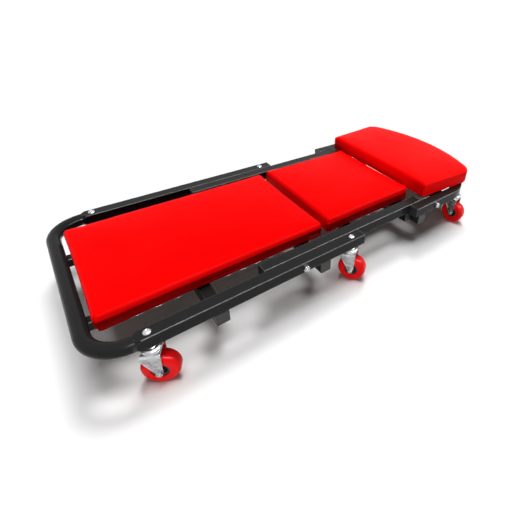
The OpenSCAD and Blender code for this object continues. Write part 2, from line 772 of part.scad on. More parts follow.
// Tread: a tyre with round shoulders, moulded on the hub
module caster_tread(c) {
    r0 = hub_d / 2;
    r1 = wheel_d / 2;
    half = tread_w / 2;
    color(tread_red) on_axle(c) rotate_extrude() {
        translate([r0, -half]) square([r1 - r0 - tread_round, tread_w]);
        translate([r0, tread_round - half]) square([r1 - r0, tread_w - 2 * tread_round]);
        for (s = [-1, 1]) translate([r1 - tread_round, s * (half - tread_round)]) circle(r = tread_round);
    }
}

foot_tube();
base_rail(1);  // base_rail_left
base_rail(-1);  // base_rail_right
base_foot_cross();
base_stop_cross();
base_pad_bars();
base_plugs();
back_pad_board();
back_pad_cushion();
back_pad_screws();
base_caster_screws();
base_caster_stems();
pivot_bolts(hinge1_x);  // base_pivot_bolts
middle_rail(1);  // middle_rail_left
middle_rail(-1);  // middle_rail_right
middle_stop_cross();
middle_pad_bars();
middle_plugs();
middle_rest_strips();
middle_pad_board();
middle_pad_cushion();
middle_pad_screws();
head_frame();
head_cross();
head_plugs();
head_strips();
head_pad_board();
head_pad_cushion();
head_pad_screws();
pivot_bolts(hinge2_x);  // head_pivot_bolts
head_caster_stems();
head_weld_nuts();
caster_fork(foot_left);  // foot_left_fork
caster_axle(foot_left);  // foot_left_axle
caster_hub(foot_left);  // foot_left_hub
caster_tread(foot_left);  // foot_left_tread
caster_fork(foot_right);  // foot_right_fork
caster_axle(foot_right);  // foot_right_axle
caster_hub(foot_right);  // foot_right_hub
caster_tread(foot_right);  // foot_right_tread
caster_fork(middle_left);  // middle_left_fork
caster_axle(middle_left);  // middle_left_axle
caster_hub(middle_left);  // middle_left_hub
caster_tread(middle_left);  // middle_left_tread
caster_fork(middle_right);  // middle_right_fork
caster_axle(middle_right);  // middle_right_axle
caster_hub(middle_right);  // middle_right_hub
caster_tread(middle_right);  // middle_right_tread
caster_fork(head_left);  // head_left_fork
caster_axle(head_left);  // head_left_axle
caster_hub(head_left);  // head_left_hub
caster_tread(head_left);  // head_left_tread
caster_fork(head_right);  // head_right_fork
caster_axle(head_right);  // head_right_axle
caster_hub(head_right);  // head_right_hub
caster_tread(head_right);  // head_right_tread
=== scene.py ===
"""Looks of a folding creeper seat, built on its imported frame.

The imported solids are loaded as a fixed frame. Each one then gets its finish, the three pads are
stuffed and covered, and the welds, staples and other small work are added. Last come the floor,
the lamps and the camera. Lengths are metres, +X is the head end, +Y the left side and +Z is up.
"""

from __future__ import annotations

import sys

import json
import logging
import math
from contextlib import contextmanager
from dataclasses import dataclass, field
from enum import Enum
from typing import Callable, Iterator, Sequence

import bpy
import numpy as np
from mathutils import Matrix, Vector

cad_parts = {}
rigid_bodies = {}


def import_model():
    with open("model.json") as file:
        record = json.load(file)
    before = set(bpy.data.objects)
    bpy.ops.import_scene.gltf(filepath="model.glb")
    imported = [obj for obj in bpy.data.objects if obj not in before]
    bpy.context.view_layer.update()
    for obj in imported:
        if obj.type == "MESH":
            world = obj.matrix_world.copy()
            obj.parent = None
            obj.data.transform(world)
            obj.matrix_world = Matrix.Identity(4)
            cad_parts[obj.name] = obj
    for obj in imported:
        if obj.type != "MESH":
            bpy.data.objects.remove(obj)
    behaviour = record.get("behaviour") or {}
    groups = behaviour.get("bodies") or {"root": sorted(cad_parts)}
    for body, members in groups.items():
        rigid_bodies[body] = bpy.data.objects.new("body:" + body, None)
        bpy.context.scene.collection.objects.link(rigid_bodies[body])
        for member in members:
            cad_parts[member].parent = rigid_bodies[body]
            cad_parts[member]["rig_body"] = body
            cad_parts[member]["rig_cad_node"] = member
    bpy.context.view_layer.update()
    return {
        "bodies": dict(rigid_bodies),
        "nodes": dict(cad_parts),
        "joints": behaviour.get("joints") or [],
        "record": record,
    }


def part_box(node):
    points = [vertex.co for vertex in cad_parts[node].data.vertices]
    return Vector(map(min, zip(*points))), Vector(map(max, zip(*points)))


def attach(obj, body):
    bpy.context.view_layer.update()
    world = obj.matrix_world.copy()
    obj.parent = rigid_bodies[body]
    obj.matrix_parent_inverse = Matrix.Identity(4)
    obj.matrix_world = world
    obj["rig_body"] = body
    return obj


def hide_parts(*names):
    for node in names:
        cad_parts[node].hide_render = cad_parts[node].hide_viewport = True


LOG = logging.getLogger("creeper")
Colour = tuple[float, float, float, float]
Point = tuple[float, float, float]
MM = 0.001

# Bends in degrees per millimetre, at which the stored turn leaves 0 and reaches 1
GENTLE_BEND, TIGHT_BEND = 9.0, 24.0

# Sizes of the solids that their boxes don't tell
PAD_CORNER, HEAD_PAD_CORNER = 4 * MM, 5 * MM
HEAD_PAD_WIDTH = 374 * MM
PAD_BAR_WIDTH = 19 * MM


class Slot(Enum):
    """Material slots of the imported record."""

    STEEL = "steel_black"
    VINYL = "vinyl_red"
    BOARD = "board"
    ZINC = "zinc"
    PLASTIC = "plastic_black"
    RUBBER = "rubber_black"
    TREAD = "tread_red"


# Working on meshes


def deselect() -> None:
    """Leaves edit mode and clears the selection."""
    if bpy.context.object and bpy.context.object.mode != "OBJECT":
        bpy.ops.object.mode_set(mode="OBJECT")
    bpy.ops.object.select_all(action="DESELECT")


def pick(*pieces: bpy.types.Object) -> None:
    """Selects only these pieces, the first of them active.

    Args:
        pieces: the objects to select.
    """
    deselect()
    for piece in pieces:
        piece.select_set(True)
    bpy.context.view_layer.objects.active = pieces[0]


@contextmanager
def editing(piece: bpy.types.Object) -> Iterator[None]:
    """Holds a piece in edit mode with everything deselected, then goes back to object mode.

    Args:
        piece: the mesh object to edit.
    """
    pick(piece)
    bpy.ops.object.mode_set(mode="EDIT")
    bpy.ops.mesh.select_all(action="DESELECT")
    yield
    bpy.ops.object.mode_set(mode="OBJECT")


def choose(piece: bpy.types.Object, test: Callable[[Vector], bool], kind: str = "FACE") -> int:
    """Selects faces or points of a piece that is in edit mode, by their place.

    Args:
        piece: the mesh object in edit mode.
        test: tells from a place whether it is wanted.
        kind: FACE for faces by their centres, VERT for points.

    Returns:
        How many were selected.
    """
    bpy.ops.mesh.select_mode(type=kind)
    bpy.ops.mesh.select_all(action="DESELECT")
    bpy.ops.object.mode_set(mode="OBJECT")
    items = piece.data.polygons if kind == "FACE" else piece.data.vertices
    count = 0
    for item in items:
        item.select = bool(test(item.center if kind == "FACE" else item.co))
        count += item.select
    bpy.ops.object.mode_set(mode="EDIT")
    return count


def read(items: bpy.types.bpy_prop_collection, name: str, width: int, kind: type = np.float32) -> np.ndarray:
    """Reads one property of all the items of a mesh.

    Args:
        items: the mesh's points, edges, faces or corners.
        name: the property's name.
        width: how many numbers it has.
        kind: the type of its numbers.

    Returns:
        One row for each item, or one number where the width is 1.
    """
    values = np.empty(len(items) * width, kind)
    items.foreach_get(name, values)
    return values.reshape(-1, width) if width > 1 else values


def apply_all(piece: bpy.types.Object) -> None:
    """Applies every modifier of a piece, in order."""
    pick(piece)
    for modifier in list(piece.modifiers):
        bpy.ops.object.modifier_apply(modifier=modifier.name)


def settle(piece: bpy.types.Object) -> None:
    """Moves a piece's place into its mesh, so that its object sits at the origin."""
    pick(piece)
    bpy.ops.object.transform_apply(location=True, rotation=True, scale=True)


def smooth(piece: bpy.types.Object, degrees: float) -> None:
    """Shades a piece smooth, except across edges sharper than an angle."""
    pick(piece)
    bpy.ops.object.shade_smooth_by_angle(angle=math.radians(degrees))


def added(name: str) -> bpy.types.Object:
    """Names the primitive that was just added, and its mesh.

    Args:
        name: the piece's name.

    Returns:
        The object.
    """
    piece = bpy.context.object
    piece.name = piece.data.name = name
    return piece


def joined(pieces: Sequence[bpy.types.Object], name: str) -> bpy.types.Object:
    """Joins pieces into one object at the origin.

    Args:
        pieces: the objects to join.
        name: the name of the one that is left.

    Returns:
        The joined object.
    """
    pick(*pieces)
    if len(pieces) > 1:
        bpy.ops.object.join()
    piece = added(name)
    settle(piece)
    return piece


def duplicate(source: bpy.types.Object, name: str) -> bpy.types.Object:
    """Copies a piece with its mesh, and names the copy."""
    piece = source.copy()
    piece.data = source.data.copy()
    bpy.context.scene.collection.objects.link(piece)
    piece.name = piece.data.name = name
    return piece


def discard(piece: bpy.types.Object) -> None:
    """Deletes a piece."""
    pick(piece)
    bpy.ops.object.delete()


def merged_copy(node: str, name: str) -> bpy.types.Object:
    """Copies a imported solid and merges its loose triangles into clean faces.

    Args:
        node: the solid's name in the frame.
        name: the copy's name.

    Returns:
        The copy, on no body yet.
    """
    piece = duplicate(bpy.data.objects[node], name)
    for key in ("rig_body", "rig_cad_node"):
        if key in piece:
            del piece[key]
    piece.parent = None
    piece.hide_viewport = piece.hide_render = False
    with editing(piece):
        bpy.ops.mesh.select_all(action="SELECT")
        bpy.ops.mesh.remove_doubles(threshold=4e-6)
        bpy.ops.mesh.dissolve_limited(angle_limit=math.radians(0.4))
    return piece


def mark_edges(piece: bpy.types.Object) -> None:
    """Stores on each face how tightly the surface bends there, as the attribute turn.

    Args:
        piece: the finished mesh object.
    """
    mesh = piece.data
    normals = read(mesh.polygons, "normal", 3)
    areas = read(mesh.polygons, "area", 1)
    totals = read(mesh.polygons, "loop_total", 1, np.int32)
    edges = read(mesh.loops, "edge_index", 1, np.int32)
    points = read(mesh.vertices, "co", 3)
    ends = read(mesh.edges, "vertices", 2, np.int32)
    lengths = np.linalg.norm(points[ends[:, 0]] - points[ends[:, 1]], axis=1)
    order = np.argsort(edges, kind="stable")
    edges, faces = edges[order], np.repeat(np.arange(len(totals)), totals)[order]
    pair = np.nonzero(edges[1:] == edges[:-1])[0]
    cosine = np.sum(normals[faces[pair]] * normals[faces[pair + 1]], axis=1)
    angle = np.degrees(np.arccos(np.clip(cosine, -1, 1)))
    bend = np.zeros(len(totals))
    for side in (faces[pair], faces[pair + 1]):
        width = areas[side] / np.maximum(lengths[edges[pair]], 1e-9) / MM
        np.maximum.at(bend, side, angle / np.maximum(width, 1e-3))
    share = np.clip((bend - GENTLE_BEND) / (TIGHT_BEND - GENTLE_BEND), 0, 1)
    mesh.attributes.new("turn", "FLOAT", "FACE").data.foreach_set("value", share.astype(np.float32))


def break_edges(piece: bpy.types.Object, width: float, crease: float = 40.0) -> None:
    """Rounds a piece's sharp edges a little, shades it, and marks where it bends.

    Args:
        piece: the merged copy of a solid.
        width: the rounding's width.
        crease: the angle in degrees from which an edge stays hard.
    """
    modifier = piece.modifiers.new("broken_edges", "BEVEL")
    modifier.width = width
    modifier.segments = 2
    modifier.limit_method = "ANGLE"
    modifier.angle_limit = math.radians(32)
    modifier.use_clamp_overlap = True
    apply_all(piece)
    smooth(piece, crease)
    piece.modifiers.new("flat_faces", "WEIGHTED_NORMAL").keep_sharp = True
    apply_all(piece)
    mark_edges(piece)


def small_work(parts: Sequence[bpy.types.Object], name: str, degrees: float, material: bpy.types.Material,
               body: str) -> bpy.types.Object:
    """Joins small parts into one finished piece on a body.

    Args:
        parts: the parts to join.
        name: the piece's name.
        degrees: the angle from which its edges stay hard.
        material: its material.
        body: the body that it rides on.

    Returns:
        The finished piece.
    """
    piece = joined(parts, name)
    smooth(piece, degrees)
    mark_edges(piece)
    dress(piece, material)
    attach(piece, body)
    LOG.info("%s: %d parts on %s", name, len(parts), body)
    return piece


def dress(piece: bpy.types.Object, material: bpy.types.Material) -> None:
    """Gives a piece one material."""
    piece.data.materials.clear()
    piece.data.materials.append(material)


# Shader nodes


class Sheet:
    """A node tree that is being drawn."""

    def __init__(self, tree: bpy.types.NodeTree) -> None:
        """Starts on a tree.

        Args:
            tree: the material's, world's or group's tree.
        """
        self.tree = tree

    def add(self, kind: str, inputs: dict[str, object] | None = None, **settings: object) -> bpy.types.Node:
        """Adds a node.

        Args:
            kind: the node's type, without its ShaderNode prefix.
            inputs: values or sockets for its inputs, by their names.
            settings: the node's own settings.

        Returns:
            The node.
        """
        node = self.tree.nodes.new(kind if kind.startswith("Node") else "ShaderNode" + kind)
        for key, value in settings.items():
            setattr(node, key, value)
        for key, value in (inputs or {}).items():
            self.put(node.inputs[int(key) if key.isdigit() else key], value)
        return node

    def put(self, socket: bpy.types.NodeSocket, value: object) -> None:
        """Links another node's socket to an input, or sets the input to a plain value."""
        if isinstance(value, bpy.types.NodeSocket):
            self.tree.links.new(value, socket)
        else:
            socket.default_value = value

    def noise(self, place: object, scale: object, detail: float,
              roughness: float = 0.5) -> bpy.types.NodeSocket:
        """Adds a noise texture and gives its value.

        Args:
            place: the coordinates' socket.
            scale: the scale's value or socket.
            detail: how many finer layers it has.
            roughness: how much the finer layers count.

        Returns:
            The value's socket.
        """
        inputs = {"Vector": place, "Scale": scale, "Detail": detail, "Roughness": roughness}
        return self.add("TexNoise", inputs).outputs["Fac"]

    def math(self, operation: str, a: object, b: object = 0.0, clamp: bool = False) -> bpy.types.NodeSocket:
        """Adds a Math node and gives its result.

        Args:
            operation: the node's operation.
            a: the first value or socket.
            b: the second value or socket.
            clamp: keeps the result between 0 and 1.

        Returns:
            The result's socket.
        """
        return self.add("Math", {"0": a, "1": b}, operation=operation, use_clamp=clamp).outputs[0]

    def spread(self, value: object, low: float, high: float, to_low: float = 0.0,
               to_high: float = 1.0) -> bpy.types.NodeSocket:
        """Maps a value's range to another, held at its ends.

        Args:
            value: the socket to map.
            low: the value that becomes to_low.
            high: the value that becomes to_high.
            to_low: the result at low.
            to_high: the result at high.

        Returns:
            The result's socket.
        """
        node = self.add("MapRange", {"Value": value, "From Min": low, "From Max": high, "To Min": to_low,
                                     "To Max": to_high})
        return node.outputs["Result"]

    def mix(self, share: object, a: object, b: object) -> bpy.types.NodeSocket:
        """Mixes two colours.

        Args:
            share: how much of the second, from 0 to 1.
            a: the first colour or socket.
            b: the second colour or socket.

        Returns:
            The mixed colour's socket.
        """
        node = self.tree.nodes.new("ShaderNodeMix")
        node.data_type = "RGBA"
        for index, value in ((0, share), (6, a), (7, b)):
            self.put(node.inputs[index], value)
        return node.outputs[2]


class Effect(Enum):
    """Surface effects that several finishes share."""

    PEEL = "peel"
    GRAIN = "leather_grain"
    WEAR = "edge_wear"
    DUST = "dust"


class EffectShelf:
    """Builds each shared effect once, as a node group."""

    def __init__(self) -> None:
        """Starts with no group built."""
        self.built: dict[Effect, bpy.types.NodeTree] = {}

    def group(self, effect: Effect) -> bpy.types.NodeTree:
        """Gives an effect's node group, built at its first use.

        Args:
            effect: the effect.

        Returns:
            Its node group.
        """
        if effect not in self.built:
            maker = {Effect.PEEL: self._peel, Effect.GRAIN: self._grain, Effect.WEAR: self._wear,
                     Effect.DUST: self._dust}[effect]
            self.built[effect] = maker(bpy.data.node_groups.new(effect.value, "ShaderNodeTree"))
        return self.built[effect]

    @staticmethod
    def _sockets(tree: bpy.types.NodeTree, inputs: dict[str, float],
                 outputs: Sequence[str]) -> tuple[Sheet, bpy.types.Node, bpy.types.Node]:
        """Gives a group its sockets, and a place to draw it.

        Args:
            tree: the group.
            inputs: the names of its number inputs, with their values.
            outputs: the names of its number outputs.

        Returns:
            The sheet, the input node and the output node.
        """
        tree.interface.new_socket(name="Place", in_out="INPUT", socket_type="NodeSocketVector")
        for name, value in inputs.items():
            socket = tree.interface.new_socket(name=name, in_out="INPUT", socket_type="NodeSocketFloat")
            socket.default_value = value
        for name in outputs:
            tree.interface.new_socket(name=name, in_out="OUTPUT", socket_type="NodeSocketFloat")
        sheet = Sheet(tree)
        return sheet, sheet.add("NodeGroupInput"), sheet.add("NodeGroupOutput")

    def _peel(self, tree: bpy.types.NodeTree) -> bpy.types.NodeTree:
        """Orange peel of a baked coat: low swells with fine specks between them."""
        sheet, given, result = self._sockets(tree, {"Scale": 700.0, "Specks": 0.35}, ["Height", "Mottle"])
        place, scale = given.outputs["Place"], given.outputs["Scale"]
        swell = sheet.noise(place, scale, 1.5)
        fine = sheet.noise(place, sheet.math("MULTIPLY", scale, 3.1), 2.0)
        specks = sheet.math("MULTIPLY", fine, given.outputs["Specks"])
        wide = sheet.noise(place, 23.0, 3.0)
        tree.links.new(sheet.math("ADD", swell, specks), result.inputs["Height"])
        tree.links.new(sheet.spread(wide, 0.3, 0.7), result.inputs["Mottle"])
        return tree

    def _grain(self, tree: bpy.types.NodeTree) -> bpy.types.NodeTree:
        """Embossed leather grain: small cells with soft valleys, over slow waves in the cover."""
        sheet, given, result = self._sockets(tree, {"Cells": 850.0, "Waves": 9.0}, ["Height", "Wave"])
        bend = sheet.add("TexNoise", {"Vector": given.outputs["Place"], "Scale": 260.0, "Detail": 2.0})
        moved = sheet.add("VectorMath", {"0": bend.outputs["Color"]}, operation="SCALE")
        moved.inputs["Scale"].default_value = 0.0012
        place = sheet.add("VectorMath", {"0": given.outputs["Place"], "1": moved.outputs[0]}, operation="ADD")
        cells = sheet.add("TexVoronoi", {"Vector": place.outputs[0], "Scale": given.outputs["Cells"]},
                          feature="DISTANCE_TO_EDGE")
        pebble = sheet.spread(cells.outputs["Distance"], 0.02, 0.32)
        wave = sheet.noise(given.outputs["Place"], given.outputs["Waves"], 2.0, 0.4)
        tree.links.new(pebble, result.inputs["Height"])
        tree.links.new(wave, result.inputs["Wave"])
        return tree

    def _wear(self, tree: bpy.types.NodeTree) -> bpy.types.NodeTree:
        """Rubbed edges: a broken mask where the surface turns."""
        sheet, given, result = self._sockets(tree, {"Turn": 0.0, "Scale": 140.0, "Amount": 0.5}, ["Mask"])
        patches = sheet.noise(given.outputs["Place"], given.outputs["Scale"], 5.0, 0.65)
        worn = sheet.math("MULTIPLY", sheet.spread(patches, 0.44, 0.66), given.outputs["Turn"])
        mask = sheet.math("MULTIPLY", worn, given.outputs["Amount"], True)
        tree.links.new(mask, result.inputs["Mask"])
        return tree

    def _dust(self, tree: bpy.types.NodeTree) -> bpy.types.NodeTree:
        """Fine dust that lies thinly on what faces up."""
        sheet, given, result = self._sockets(tree, {"Scale": 60.0, "Amount": 0.2}, ["Mask"])
        up = sheet.add("SeparateXYZ", {"Vector": sheet.add("NewGeometry").outputs["Normal"]}).outputs["Z"]
        film = sheet.noise(given.outputs["Place"], given.outputs["Scale"], 6.0, 0.7)
        lying = sheet.math("MULTIPLY", sheet.spread(up, 0.5, 1.0), sheet.spread(film, 0.35, 0.75))
        mask = sheet.math("MULTIPLY", lying, given.outputs["Amount"], True)
        tree.links.new(mask, result.inputs["Mask"])
        return tree


EFFECTS = EffectShelf()


class MaterialSheet(Sheet):
    """A material's tree, with its shader and its object coordinates in place."""

    def __init__(self, name: str) -> None:
        """Starts a new material.

        Args:
            name: the material's name.
        """
        self.material = bpy.data.materials.new(name)
        self.material.use_nodes = True
        super().__init__(self.material.node_tree)
        self.shader = self.tree.nodes["Principled BSDF"]
        self.place = self.add("TexCoord").outputs["Object"]

    def effect(self, effect: Effect, inputs: dict[str, object]) -> bpy.types.Node:
        """Adds a shared effect on the object's coordinates.

        Args:
            effect: the effect.
            inputs: its values or sockets.

        Returns:
            The group's node.
        """
        node = self.tree.nodes.new("ShaderNodeGroup")
        node.node_tree = EFFECTS.group(effect)
        for key, value in {"Place": self.place, **inputs}.items():
            self.put(node.inputs[key], value)
        return node

    def stored(self, name: str) -> bpy.types.NodeSocket:
        """The value of an attribute that the piece stores, such as how sharply it turns."""
        return self.add("Attribute", attribute_name=name).outputs["Fac"]

    def stretched(self, *scale: float) -> bpy.types.NodeSocket:
        """The object's coordinates, scaled along X, Y and Z."""
        return self.add("Mapping", {"Vector": self.place, "Scale": scale}).outputs[0]

    def feed(self, **values: object) -> None:
        """Sets or links the shader's inputs.

        Args:
            values: values or sockets, with underscores for the spaces in the inputs' names.
        """
        for key, value in values.items():
            self.put(self.shader.inputs[key.replace("_", " ")], value)

    def bump(self, height: bpy.types.NodeSocket, distance: float) -> None:
        """Feeds the shader's normal with a bump.

        Args:
            height: the height's socket, from 0 to 1.
            distance: the height's full depth in metres.
        """
        node = self.add("Bump", {"Height": height, "Distance": distance, "Strength": 1.0})
        self.feed(Normal=node.outputs["Normal"])


# Finishes


@dataclass(frozen=True)
class PowderCoat:
    """Satin black powder coat on the steel tubes."""

    name: str = "powder_coat"
    colour: Colour = (0.015, 0.0152, 0.0156, 1)
    bare: Colour = (0.075, 0.075, 0.078, 1)
    roughness: float = 0.22

    def material(self) -> bpy.types.Material:
        """Draws the coat: orange peel, mottled sheen, rubbed edges and a trace of dust."""
        sheet = MaterialSheet(self.name)
        peel = sheet.effect(Effect.PEEL, {"Scale": 620.0, "Specks": 0.3})
        wear = sheet.effect(Effect.WEAR, {"Turn": sheet.stored("turn"), "Scale": 150.0, "Amount": 0.4})
        dust = sheet.effect(Effect.DUST, {"Scale": 55.0, "Amount": 0.05})
        rubbed = sheet.mix(wear.outputs["Mask"], self.colour, self.bare)
        rough = sheet.spread(peel.outputs["Mottle"], 0, 1, self.roughness - 0.03, self.roughness + 0.04)
        dusty = sheet.mix(dust.outputs["Mask"], rubbed, (0.07, 0.069, 0.066, 1))
        sheet.feed(Base_Color=dusty, Roughness=rough, Specular_IOR_Level=0.08, Coat_Roughness=0.12, Coat_IOR=1.6,
                   Coat_Weight=sheet.math("MULTIPLY", sheet.stored("turn"), 0.6))
        sheet.bump(peel.outputs["Height"], 0.00002)
        return sheet.material


@dataclass(frozen=True)
class ZincPlate:
    """Bright zinc on the fasteners and casters."""

    name: str = "zinc_plate"
    colour: Colour = (0.58, 0.59, 0.6, 1)
    dull: Colour = (0.34, 0.345, 0.355, 1)
    roughness: float = 0.22

    def material(self) -> bpy.types.Material:
        """Draws the plating: cloudy passivation, fine drawing lines and brighter edges."""
        sheet = MaterialSheet(self.name)
        lines = sheet.noise(sheet.stretched(260.0, 260.0, 2600.0), 1.0, 2.0)
        wear = sheet.effect(Effect.WEAR, {"Turn": sheet.stored("turn"), "Scale": 300.0, "Amount": 0.5})
        patch = sheet.spread(sheet.noise(sheet.place, 95.0, 4.0, 0.6), 0.35, 0.68)
        tone = sheet.mix(patch, self.colour, self.dull)
        sheet.feed(Base_Color=sheet.mix(wear.outputs["Mask"], tone, (0.9, 0.9, 0.91, 1)), Metallic=1.0,
                   Roughness=sheet.spread(patch, 0, 1, self.roughness - 0.04, self.roughness + 0.12))
        sheet.bump(lines, 0.000012)
        return sheet.material


@dataclass(frozen=True)
class Vinyl:
    """Red vinyl over the foam of the pads."""

    name: str = "vinyl"
    colour: Colour = (0.93, 0.0012, 0.0016, 1)
    deep: Colour = (0.85, 0.0008, 0.001, 1)
    roughness: float = 0.38

    def material(self) -> bpy.types.Material:
        """Draws the cover: embossed grain, slow waves over the foam, and painted shade that darkens the corner
        folds.
        """
        sheet = MaterialSheet(self.name)
        grain = sheet.effect(Effect.GRAIN, {"Cells": 900.0, "Waves": 9.0})
        crease = sheet.stored("crease")
        tone = sheet.mix(sheet.spread(grain.outputs["Wave"], 0.35, 0.65, 0.0, 0.5), self.colour, self.deep)
        # Painted shade: where the attribute crease marks a corner fold, the red is darkened towards a deep red in
        # place of the shade inside the fold.
        tone = sheet.mix(sheet.math("MULTIPLY", crease, 0.85, True), tone, (0.36, 0.0005, 0.001, 1))
        rough = sheet.spread(grain.outputs["Wave"], 0.3, 0.7, self.roughness - 0.04, self.roughness + 0.05)
        sheet.feed(Base_Color=tone, Roughness=rough, Specular_IOR_Level=0.03, Specular_Tint=(1, 0.4, 0.35, 1))
        height = sheet.math("ADD", sheet.math("MULTIPLY", grain.outputs["Height"], 0.05), grain.outputs["Wave"])
        sheet.bump(height, 0.0005)
        return sheet.material


@dataclass(frozen=True)
class MouldedPlastic:
    """Black moulded plastic of the tube plugs and wheel hubs."""

    name: str = "moulded_plastic"
    colour: Colour = (0.011, 0.011, 0.0115, 1)
    roughness: float = 0.42

    def material(self) -> bpy.types.Material:
        """Draws the plastic: a spark texture, with its edges a little polished."""
        sheet = MaterialSheet(self.name)
        peel = sheet.effect(Effect.PEEL, {"Scale": 1500.0, "Specks": 0.7})
        wear = sheet.effect(Effect.WEAR, {"Turn": sheet.stored("turn"), "Scale": 200.0, "Amount": 0.3})
        rough = sheet.spread(peel.outputs["Mottle"], 0, 1, self.roughness - 0.04, self.roughness + 0.08)
        tone = sheet.mix(wear.outputs["Mask"], self.colour, (0.05, 0.05, 0.052, 1))
        sheet.feed(Base_Color=tone, Roughness=rough)
        sheet.bump(peel.outputs["Height"], 0.00003)
        return sheet.material


@dataclass(frozen=True)
class WheelTread:
    """Red moulded tread of the wheels."""

    name: str = "wheel_tread"
    colour: Colour = (0.93, 0.003, 0.004, 1)
    scuffed: Colour = (0.55, 0.015, 0.015, 1)
    roughness: float = 0.28

    def material(self) -> bpy.types.Material:
        """Draws the tread: faint mould swirls and a light scuff where it rolls."""
        sheet = MaterialSheet(self.name)
        peel = sheet.effect(Effect.PEEL, {"Scale": 900.0, "Specks": 0.4})
        scuff = sheet.noise(sheet.place, 160.0, 5.0, 0.7)
        rolled = sheet.stored("rolled")
        share = sheet.math("MULTIPLY", sheet.spread(scuff, 0.5, 0.75), rolled, True)
        sheet.feed(Base_Color=sheet.mix(sheet.math("MULTIPLY", share, 0.5), self.colour, self.scuffed),
                   Roughness=sheet.spread(share, 0, 1, self.roughness, 0.55), Specular_IOR_Level=0.15)
        sheet.bump(peel.outputs["Height"], 0.00003)
        return sheet.material


@dataclass(frozen=True)
class Plywood:
    """Plywood of the pads' boards."""

    name: str = "plywood"
    light: Colour = (0.42, 0.27, 0.14, 1)
    dark: Colour = (0.24, 0.135, 0.06, 1)

    def material(self) -> bpy.types.Material:
        """Draws the veneer: long grain, pores, and plies on the edges."""
        sheet = MaterialSheet(self.name)
        figure = sheet.add("TexNoise", {"Vector": sheet.stretched(3.0, 60.0, 60.0), "Scale": 1.0, "Detail": 6.0,
                                        "Roughness": 0.55, "Distortion": 0.6})
        pores = sheet.noise(sheet.stretched(70.0, 1500.0, 1500.0), 1.0, 2.0)
        tone = sheet.mix(sheet.spread(figure.outputs["Fac"], 0.3, 0.7), self.light, self.dark)
        pore = sheet.spread(pores, 0.62, 0.72)
        tone = sheet.mix(sheet.math("MULTIPLY", pore, 0.6), tone, (0.1, 0.05, 0.02, 1))
        sheet.feed(Base_Color=tone, Roughness=0.62)
        sheet.bump(sheet.math("SUBTRACT", figure.outputs["Fac"], pore), 0.00015)
        return sheet.material


@dataclass(frozen=True)
class StripRubber:
    """Black rubber of the strips under the head pad."""

    name: str = "strip_rubber"
    colour: Colour = (0.018, 0.018, 0.018, 1)

    def material(self) -> bpy.types.Material:
        """Draws the rubber: dull, with a fine open texture."""
        sheet = MaterialSheet(self.name)
        peel = sheet.effect(Effect.PEEL, {"Scale": 1100.0, "Specks": 1.0})
        sheet.feed(Base_Color=sheet.mix(sheet.math("MULTIPLY", peel.outputs["Mottle"], 0.4), self.colour,
                                        (0.04, 0.04, 0.04, 1)), Roughness=0.7)
        sheet.bump(peel.outputs["Height"], 0.00008)
        return sheet.material


class Finishes:
    """The object's finishes, each drawn once."""

    def __init__(self) -> None:
        """Draws every finish."""
        self.by_slot: dict[Slot, bpy.types.Material] = {
            Slot.STEEL: PowderCoat().material(),
            Slot.VINYL: Vinyl().material(),
            Slot.BOARD: Plywood().material(),
            Slot.ZINC: ZincPlate().material(),
            Slot.PLASTIC: MouldedPlastic().material(),
            Slot.RUBBER: StripRubber().material(),
            Slot.TREAD: WheelTread().material(),
        }

    def __getitem__(self, slot: Slot) -> bpy.types.Material:
        """The material of a slot."""
        return self.by_slot[slot]


# Sub-assemblies


@dataclass(frozen=True)
class Edge:
    """How a material's sharp edges are broken: the rounding's width, and the angle that stays hard."""

    width: float
    crease: float = 40.0


BROKEN_EDGES: dict[Slot, Edge] = {
    Slot.STEEL: Edge(0.35 * MM, crease=20.0),
    Slot.PLASTIC: Edge(0.6 * MM),
    Slot.ZINC: Edge(0.3 * MM),
    Slot.BOARD: Edge(0.4 * MM),
    Slot.RUBBER: Edge(0.25 * MM),
}


@dataclass
class Hardware:
    """The solids of one material on one body, which keep their shape and get broken edges and a finish."""

    body: str
    slot: Slot
    nodes: tuple[str, ...]
    made: list[bpy.types.Object] = field(default_factory=list)

    def build(self, finishes: Finishes) -> None:
        """Copies each solid, breaks its edges, and lets the copy stand for it.

        Args:
            finishes: the drawn finishes.
        """
        edge = BROKEN_EDGES[self.slot]
        for node in self.nodes:
            piece = merged_copy(node, f"{node}.finished")
            break_edges(piece, edge.width, edge.crease)
            dress(piece, finishes[self.slot])
            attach(piece, self.body)
            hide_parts(node)
            self.made.append(piece)
        LOG.info("%s: %d pieces on %s", self.slot.value, len(self.made), self.body)


@dataclass(frozen=True)
class Corner:
    """A pad's upright corner: its arc's centre and radius, and the way along X and Y that it points."""

    x: float
    y: float
    radius: float
    toward: tuple[int, int]

    def unrolled(self, place: Vector) -> tuple[float, float, Vector]:
        """Lays the two walls and the arc between them out flat.

        Args:
            place: a point near the corner.

        Returns:
            The way along the wall from the arc's middle, towards the side wall, the depth under the wall,
            and the way out of the wall.
        """
        u = (place.x - self.x) * self.toward[0]
        v = (place.y - self.y) * self.toward[1]
        eighth = math.pi / 4 * self.radius
        if v < 0:
            return v - eighth, self.radius - u, Vector((self.toward[0], 0, 0))
        if u < 0:
            return eighth - u, self.radius - v, Vector((0, self.toward[1], 0))
        angle = math.atan2(v, u)
        out = Vector((math.cos(angle) * self.toward[0], math.sin(angle) * self.toward[1], 0))
        return (angle - math.pi / 4) * self.radius, self.radius - math.hypot(u, v), out


